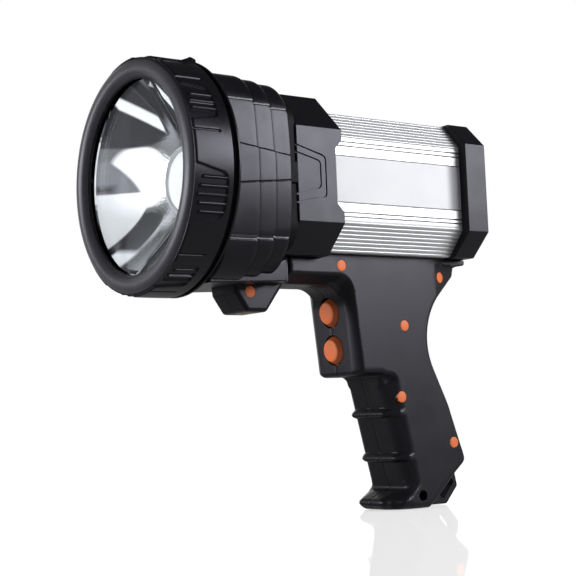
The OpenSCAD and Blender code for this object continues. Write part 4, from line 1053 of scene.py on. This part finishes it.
def cap_screw(spot):
    """A pan head above its shank."""
    profile = ([(0, shank_s), (shank_r, shank_s), (shank_r, cap_end - head_t), (head_r, cap_end - head_t)]
               + arc((head_r - 0.6, cap_end - 0.85), (0.6, 0.6), 0, 90, 5)
               + [(1.2, cap_end - 0.2), (0, cap_end - 0.2)])
    return spun(profile, 40, along_axis(spot))


def cross_recess(spot, tail, tip, half=1.45, thick=0.32):
    """The two crossed slots of a screw head."""
    bar = [(half, thick), (-half, thick), (-half, -thick), (half, -thick)]
    upright = [(z, x) for x, z in reversed(bar)]
    return [prism(np.array(slot, float) + np.array(spot), tail, tip, across_axis) for slot in (bar, upright)]


recesses = [cut for spot in screw_spots for cut in cross_recess(spot, cap_end - 1.3, cap_end + 0.5)]
make_piece("cap_screw_set", joined(*[cap_screw(spot) for spot in screw_spots]), zinc_steel,
           ["cap_screws"], holes=recesses)

flap_foot, hinge_z = flap_z - flap_h / 2, flap_z + flap_h / 2 - flap_t / 2
hinge = Matrix.Translation((0, lip_y + (cap_end - flap_t / 2) * MM, axis_z + hinge_z * MM))


def port_flap():
    """The flap with its hinge roll along the top, a raised grip rib and rounded edges."""
    half = flap_w / 2
    plate = rounded([(-half, flap_foot, 1.2), (half, flap_foot, 1.2),
                     (half, hinge_z, 0), (-half, hinge_z, 0)])
    bar = slab_outline(4.0, 0.7, 0.65, (0, flap_foot + 2.2))
    roll = spun([(0, -half), (0.7, -half), (1.0, -half + 0.3), (1.0, half - 0.3), (0.7, half), (0, half)], 32,
                hinge @ Matrix.Rotation(math.pi / 2, 4, "Y"))
    return joined(prism(plate, cap_end - flap_t, cap_end - 0.05, across_axis, 0.2, 0.35),
                  prism(bar, cap_end - 0.5, cap_end + 0.5, across_axis, 0, 0.3), roll)


flap_rubber = rubber("flap rubber", (0.03, 0.03, 0.032))
make_piece("port_flap", port_flap(), flap_rubber, ["port_cover"], body="flap")
dot_profile = [(0, cap_end - dot_len), (dot_r, cap_end - dot_len), (dot_r, cap_end - 0.2),
               (dot_r * 0.8, cap_end + 0.1), (dot_r * 0.4, cap_end + 0.2), (0, cap_end + 0.22)]
light_pipe = glossy_plastic("pale light pipe", (0.62, 0.78, 0.64), 0.2)
make_piece("charge_lights", joined(*[spun(dot_profile, 24, along_axis(spot)) for spot in dots]), light_pipe,
           ["charge_indicator"])

# Grip: two charcoal shells, screwed together from the right along a parting line down the middle.
# Wide side plates step softly down to a narrower core with the button panel and ribbed finger front.
plate_x, core_x = 19.5, 13.2
panel_top, panel_tilt = (120.6, 111.5), math.atan2(3.6, 39.5)
grip_back = [(arm_s, 133.3, 0), (101.6, 133.3, 0), (101.6, 136.0, 0), (187.3, 136.0, 0), (187.3, 135.3, 0),
             (203.0, 135.3, 0.4), (203.0, 132.3, 1), (199.4, 132.3, 0.5), (199.0, 126.6, 3),
             (181.8, 113.1, 10), (167.8, 94.6, 36), (186.3, 56.0, 60), (197.3, 24.4, 4), (174.0, 2.8, 3),
             (170.0, 0, 2)]
core_corners = grip_back + [(146.0, 0, 5), (140.6, 4.4, 2.4), (152.0, 9.4, 4), (157.0, 10.0, 2),
                            (140.4, 72.0, 1.5), (124.2, 72.0, 2.5), (119.8, 120.0, 13), (arm_s, 120.0, 0)]
plate_corners = grip_back + [(152.0, 0, 0.5), (152.0, 4.5, 2), (162.7, 12.5, 4), (149.6, 73.0, 5),
                             (127.5, 73.5, 2), (122.1, 125.5, 10), (arm_s, 125.5, 0)]
rib_heights, rib_half = (27.4, 51.5), 2.4
rib_reach, rib_side = 2.7, 2.0
rib_mid_s, rib_tilt = 150, 0.05
finger_top, finger_foot = np.array((140.4, 72.0)), np.array((157.0, 10.0))
step_out, step_in = -5.0, 0.6
finger_w, finger_soft = 9.4, 0.16
tail_line, tail_slope = 180.5, math.tan(math.radians(16))
tail_lean, tail_mid_h = 0.02, 130
# Heights where the finger side and the tapered tail begin and end, a plug boss's edge, the parting's bevel
finger_begins, finger_ends = (9, 15), (66, 73)
tail_begins, tail_ends = (108, 116), (131.6, 132.2)
boss_edge = (3.0, 3.8)
bevel_x, bevel_in = 0.3, 0.28
plugs = ((115.4, 129.8), (184.6, 125.2), (156.8, 98.3), (152.6, 60.0), (188.4, 34.2))
foot_screw = (164.2, 6.8)


def spaced(outline, step):
    """An outline with its long sides cut into short ones."""
    points = []
    for a, b in zip(outline, list(outline[1:]) + [outline[0]]):
        count = max(1, math.ceil(math.dist(a, b) / step))
        points += [(a[0] + (b[0] - a[0]) * k / count, a[1] + (b[1] - a[1]) * k / count) for k in range(count)]
    return np.array(points)


def rib_rise(along):
    """How far a finger rib stands out, by the distance from its crest: a round bead with soft flanks."""
    near = np.clip(np.abs(along) / rib_half, 0, 1)
    return (1 - near ** 2.6) ** 0.8


def core_outline():
    """The grip's side view, with the finger ribs raised on its front."""
    outline = spaced(rounded(core_corners, 0.8), 0.6)
    down = (finger_foot - finger_top) / np.linalg.norm(finger_foot - finger_top)
    forward = np.array((down[1], -down[0]))
    offset = outline - finger_top
    along, away = offset @ down, np.abs(offset @ forward)
    for height in rib_heights:
        crest = (finger_top[1] - height) / -down[1]
        lift = np.where((away < 0.4) & (along > 0), rib_reach * rib_rise(along - crest), 0)
        outline = outline + lift[:, None] * forward
    return outline


def edge_radius(s, h):
    """Rounding of the grip's edge at a spot: tab, arm, button panel, nose, fingers, foot and the rest."""
    if h > 131.0:
        return 0.5
    if s < 120.0 and h > 108:
        return 2.2
    if s < 125.5 and h > 70:
        return 1.5
    if s < 155 and h < 11:
        return 6.0
    if s < 160 and h < 75:
        return 3.6
    if h < 20:
        return 3.2
    return 2.3


def thinned(batches):
    """Points of all batches, in order, none nearer than its batch's least distance to an earlier one."""
    kept, cells = [], {}
    size = max(gap for _, gap in batches)
    around = [(i, j) for i in (-1, 0, 1) for j in (-1, 0, 1)]
    for points, gap in batches:
        for p in points:
            cell = (int(p[0] // size), int(p[1] // size))
            near = [q for i, j in around for q in cells.get((cell[0] + i, cell[1] + j), ())]
            if all(math.dist(p, q) >= gap for q in near):
                cells.setdefault(cell, []).append(tuple(p))
                kept.append(tuple(p))
    return np.array(kept)


def inward_of(outline, area):
    """Directions into an outline at its points, from its neighbours and the sign of its area."""
    run = np.roll(outline, -1, 0) - np.roll(outline, 1, 0)
    run /= np.linalg.norm(run, axis=1)[:, None]
    return np.stack([-run[:, 1], run[:, 0]], -1) * math.copysign(1, area)


def grip_side():
    """The grip's skin seen from the side: its points, triangles, outline, plate outline and ways in."""
    outline = core_outline()
    plate = spaced(rounded(plate_corners, 0.8), 1.0)
    after = np.roll(outline, -1, 0)
    area = np.sum(outline[:, 0] * after[:, 1] - after[:, 0] * outline[:, 1])
    inward, plate_in = inward_of(outline, area), inward_of(plate, area)
    batches = [(outline, 0.0)]
    for depth in (0.12, 0.3, 0.55, 0.9, 1.4, 2.0, 2.7, 3.6, 4.6, 5.6):
        ring = outline + inward * depth
        inside, _ = distance_in(ring, outline)
        batches.append((ring[inside > 0.93 * depth], 0.1 if depth < 1 else 0.35))
    for depth in np.arange(step_out - 0.5, step_in + 1.2, 0.55):
        ring = plate + plate_in * depth
        inside, _ = distance_in(ring, outline)
        apart, _ = distance_in(ring, plate)
        batches.append((ring[(inside > 0.8) & (np.abs(apart - depth) < 0.12 + 0.1 * abs(depth))], 0.4))
    for height in rib_heights:
        bead = np.array([(s, height + rib_tilt * (s - rib_mid_s) + rise) for s in np.arange(136, 172, 0.6)
                         for rise in np.arange(-3.2, 3.3, 0.4)])
        inside, _ = distance_in(bead, outline)
        to_plate, _ = distance_in(bead, plate)
        batches.append((bead[(inside > 0.5) & (to_plate < 1.5)], 0.3))
    low, high = outline.min(0), outline.max(0)
    for gap in (0.9, 2.4):
        net = np.meshgrid(np.arange(low[0], high[0], gap), np.arange(low[1], high[1], gap))
        net = np.stack(net, -1).reshape(-1, 2)
        inside, _ = distance_in(net, outline)
        to_plate, _ = distance_in(net, plate)
        wanted = (inside > 0.9) & ((to_plate < 1.5) if gap < 1 else (inside > 2))
        batches.append((net[wanted], gap * 0.62))
    count = len(outline)
    spots, faces = filled(thinned(batches), [(i, (i + 1) % count) for i in range(count)])
    return spots, faces, outline, plate, inward


def grip_depth(spots, outline, plate, bosses):
    """Distance of the skin from the parting plane at each spot."""
    to_edge, side = distance_in(spots, outline)
    to_edge = np.maximum(to_edge, 0)
    to_plate, _ = distance_in(spots, plate)
    s, h = spots.T
    short = -to_plate / finger_w
    eased = np.maximum(short + finger_soft, 0) ** 2 / (4 * finger_soft)
    slope = 1 - np.where(short > finger_soft, short, eased)
    beside_fingers = smooth_step(*finger_begins, h) * (1 - smooth_step(*finger_ends, h))
    step = smooth_step(step_out, step_in, to_plate)
    raised = step * (1 - beside_fingers) + np.maximum(slope, 0) * beside_fingers
    for spot in bosses:
        raised = np.maximum(raised, 1 - smooth_step(*boss_edge, np.hypot(s - spot[0], h - spot[1])))
    x = core_x + (plate_x - core_x) * raised
    for height in rib_heights:
        rib = rib_rise(h - height - rib_tilt * (s - rib_mid_s))
        x = x + rib * np.minimum(rib_side, plate_x - x)
    tapered = smooth_step(*tail_begins, h) * (1 - smooth_step(*tail_ends, h))
    x = x - tail_slope * np.maximum(s - tail_line - tail_lean * (tail_mid_h - h), 0) * tapered
    radii = np.array([edge_radius(*p) for p in outline])
    window = 9
    wide = np.concatenate([radii[-window:], radii, radii[:window]])
    radii = np.convolve(wide, np.ones(window) / window, "same")[window:-window]
    r = radii[side]
    gap = np.clip(1 - to_edge / r, 0, 1)
    return x - r * (1 - np.sqrt(1 - np.minimum(gap, 0.995) ** 2))


def grip_shell(side):
    """A closed half: its skin, its edge down to a small bevel at the parting plane, and its flat."""
    spots, faces, outline, plate, inward = grip_skin
    depth = grip_depth(spots, outline, plate, plugs if side == 1 else ())
    count = len(outline)
    skin = np.stack([depth, spots[:, 0], spots[:, 1]], -1)
    rim = skin[:count]
    rows = [rim * (share, 1, 1) for share in (0.75, 0.45, 0.2)]
    rows.append(np.column_stack([np.full(count, bevel_x), outline]))
    rows.append(np.column_stack([np.zeros(count), outline + inward * bevel_in]))
    points = np.concatenate([skin] + rows)
    starts = [0] + [len(skin) + i * count for i in range(len(rows))]
    walls = []
    for here, there in zip(starts, starts[1:]):
        for j in range(count):
            k = (j + 1) % count
            walls.append((here + j, here + k, there + k, there + j))
    placed = np.stack([points[:, 0] * side * MM, lip_y + points[:, 1] * MM, points[:, 2] * MM], -1)
    return placed, faces + walls + [tuple(range(starts[-1], starts[-1] + count))]


grip_skin = grip_side()

loop_corners = [(172.5, 0, 0.5), (195.5, 0, 2), (204.0, 9.5, 2), (202.5, 17.0, 2), (190.5, 20.0, 0.5)]
loop_half = 3.5
slot_mid, slot_turn = np.array((195.06, 8.95)), math.radians(48.2)
slot_size, slot_round = (13.0, 5.2), 1.5


def lanyard_slot():
    cosine, sine = math.cos(slot_turn), math.sin(slot_turn)
    turn = np.array(((cosine, sine), (-sine, cosine)))
    return np.array(boxed(slot_size[0] / 2, slot_size[1] / 2, slot_round)) @ turn + slot_mid


press = Vector((0, math.cos(panel_tilt), math.sin(panel_tilt)))
down_panel = Vector((0, math.sin(panel_tilt), -math.cos(panel_tilt)))
button_d, button_gap, button_drops = 15.0, 0.8, (5.2, 25.4)


def on_panel(drop):
    """Place of a button: its local Z runs into the grip, square to the panel."""
    spot = Vector((0, lip_y + panel_top[0] * MM, panel_top[1] * MM)) + down_panel * (drop * MM)
    across = press.cross(down_panel)
    turn = Matrix((across, down_panel, press)).transposed().to_4x4()
    return Matrix.Translation(spot) @ turn


hole_r = button_d / 2 + button_gap
hole_profile = [(0, -4), (hole_r, -4), (hole_r, 5), (0, 5)]
button_holes = [spun(hole_profile, 96, on_panel(drop)) for drop in button_drops]
slot_hole = prism(lanyard_slot(), -9, 9, beside)
right_holes = [bore_x(plate_x - plug_t - 0.3, plate_x + 3, spot, plug_r + 0.12) for spot in plugs]
right_holes.append(bore_x(8.0, plate_x + 3, foot_screw, plug_r - 0.1))
grip_plastic = moulded_plastic("grained charcoal plastic", (0.007, 0.007, 0.009), 0.37, 0.38, 1.5)
for side, name, place, holes in ((1, "right", beside, button_holes + right_holes),
                                 (-1, "left", beside_left, button_holes)):
    make_piece(f"grip_{name}_shell", grip_shell(side), grip_plastic, [f"grip_{name}"],
               holes=holes, crease=48)
    make_piece(f"lanyard_loop_{name}", prism(rounded(loop_corners), 0, loop_half, place, 0.2, 0.9),
               grip_plastic, holes=[slot_hole])
finish_node("grip_screws", zinc_steel)

# Screw plugs: orange plastic buttons pressed over the screws along the right side.
# They stand flush, with a low dome.
orange = (0.72, 0.165, 0.048)


def satin_orange(name, tone=1.0):
    """Soft orange plastic with a fine grain and slightly uneven colour."""
    material, tree, shader, place = new_material(name, {"Specular IOR Level": 0.35})
    cloud = noise(tree, place, 120.0, 5.0)
    colour = add_ramp(tree, cloud, [(0.3, shade(orange, 0.9 * tone)), (0.7, shade(orange, 1.08 * tone))])
    tree.links.new(colour, shader.inputs["Base Color"])
    tree.links.new(ranged(tree, cloud, 0.0, 1.0, 0.42, 0.58), shader.inputs["Roughness"])
    add_relief(tree, shader, noise(tree, place, 2800.0), 0.25, 0.00006)
    return material


orange_plastic = satin_orange("satin orange plastic")


def plug(face_x, spot, turn=0.0, sunk=0.0):
    """A plug whose face looks to the right, turned about the vertical where the side slopes."""
    place = (Matrix.Translation(((face_x - sunk) * MM, lip_y + spot[0] * MM, spot[1] * MM))
             @ Matrix.Rotation(turn, 4, "Z") @ Matrix.Rotation(math.pi / 2, 4, "Y"))
    profile = ([(0, -plug_t), (plug_r, -plug_t), (plug_r, -0.25)]
               + arc((plug_r - 0.35, -0.2), (0.35, 0.3), 0, 75, 5) + [(plug_r * 0.5, 0.22), (0, 0.26)])
    return spun(profile, 48, place)


tail_turn, tail_sunk = math.atan(tail_slope), 0.75
plug_set = [plug(plate_x, spot) for spot in plugs[:1] + plugs[2:]]
plug_set.append(plug(plate_x, plugs[1], tail_turn, tail_sunk))
plug_set.append(plug(lug_w, lug_plug))
make_piece("screw_plug_set", joined(*plug_set), orange_plastic, ["screw_plugs"])

# Buttons: two tapered orange caps in the button panel, the upper for the beam, the lower for the side lights.
# Each slides straight into the grip on a flange and a stem, against a switch on a small board.
button_h, skirt = 3.0, 2.7
face_r, face_rise = 5.4, 0.35
stem_r, stem_end = 2.5, 8.7
flange_r, flange_end = 9.0, 4.7


def button_profile():
    """A stem, a flange, a tapered side and a nearly flat face."""
    half = button_d / 2
    stem = [(0, stem_end), (stem_r, stem_end), (stem_r, flange_end),
            (flange_r, flange_end), (flange_r, skirt)]
    side = [(half, skirt), (half, 0.5), (half - 0.25, 0.1), (face_r + 0.5, face_rise - button_h + 0.5),
            (face_r + 0.2, face_rise - button_h + 0.15)]
    face = [(face_r * f, -button_h + face_rise * f ** 2) for f in np.linspace(0.97, 0, 10)]
    return stem + side + face


# The faces are a lighter orange and the tapered sides a darker one: painted light and painted shade.
lit_face_orange = satin_orange("painted lit button orange plastic", 1.2)
shaded_side_orange = satin_orange("painted shade orange plastic", 0.55)
for name, node, body, drop in (("upper", "main_button", "upper_button", button_drops[0]),
                               ("lower", "side_light_button", "lower_button", button_drops[1])):
    axis = on_panel(drop)
    cap = make_piece(f"{name}_button_cap", spun(button_profile(), 96, axis), lit_face_orange,
                     [node], body=body)
    cap.data.materials.append(shaded_side_orange)
    for face in cap.data.polygons:
        near = axis.inverted() @ face.center
        if math.hypot(near.x, near.y) > (face_r + 0.35) * MM:
            face.material_index = 1
finish_node("switch_board", board_green)
finish_node("tact_switches", black_plastic)
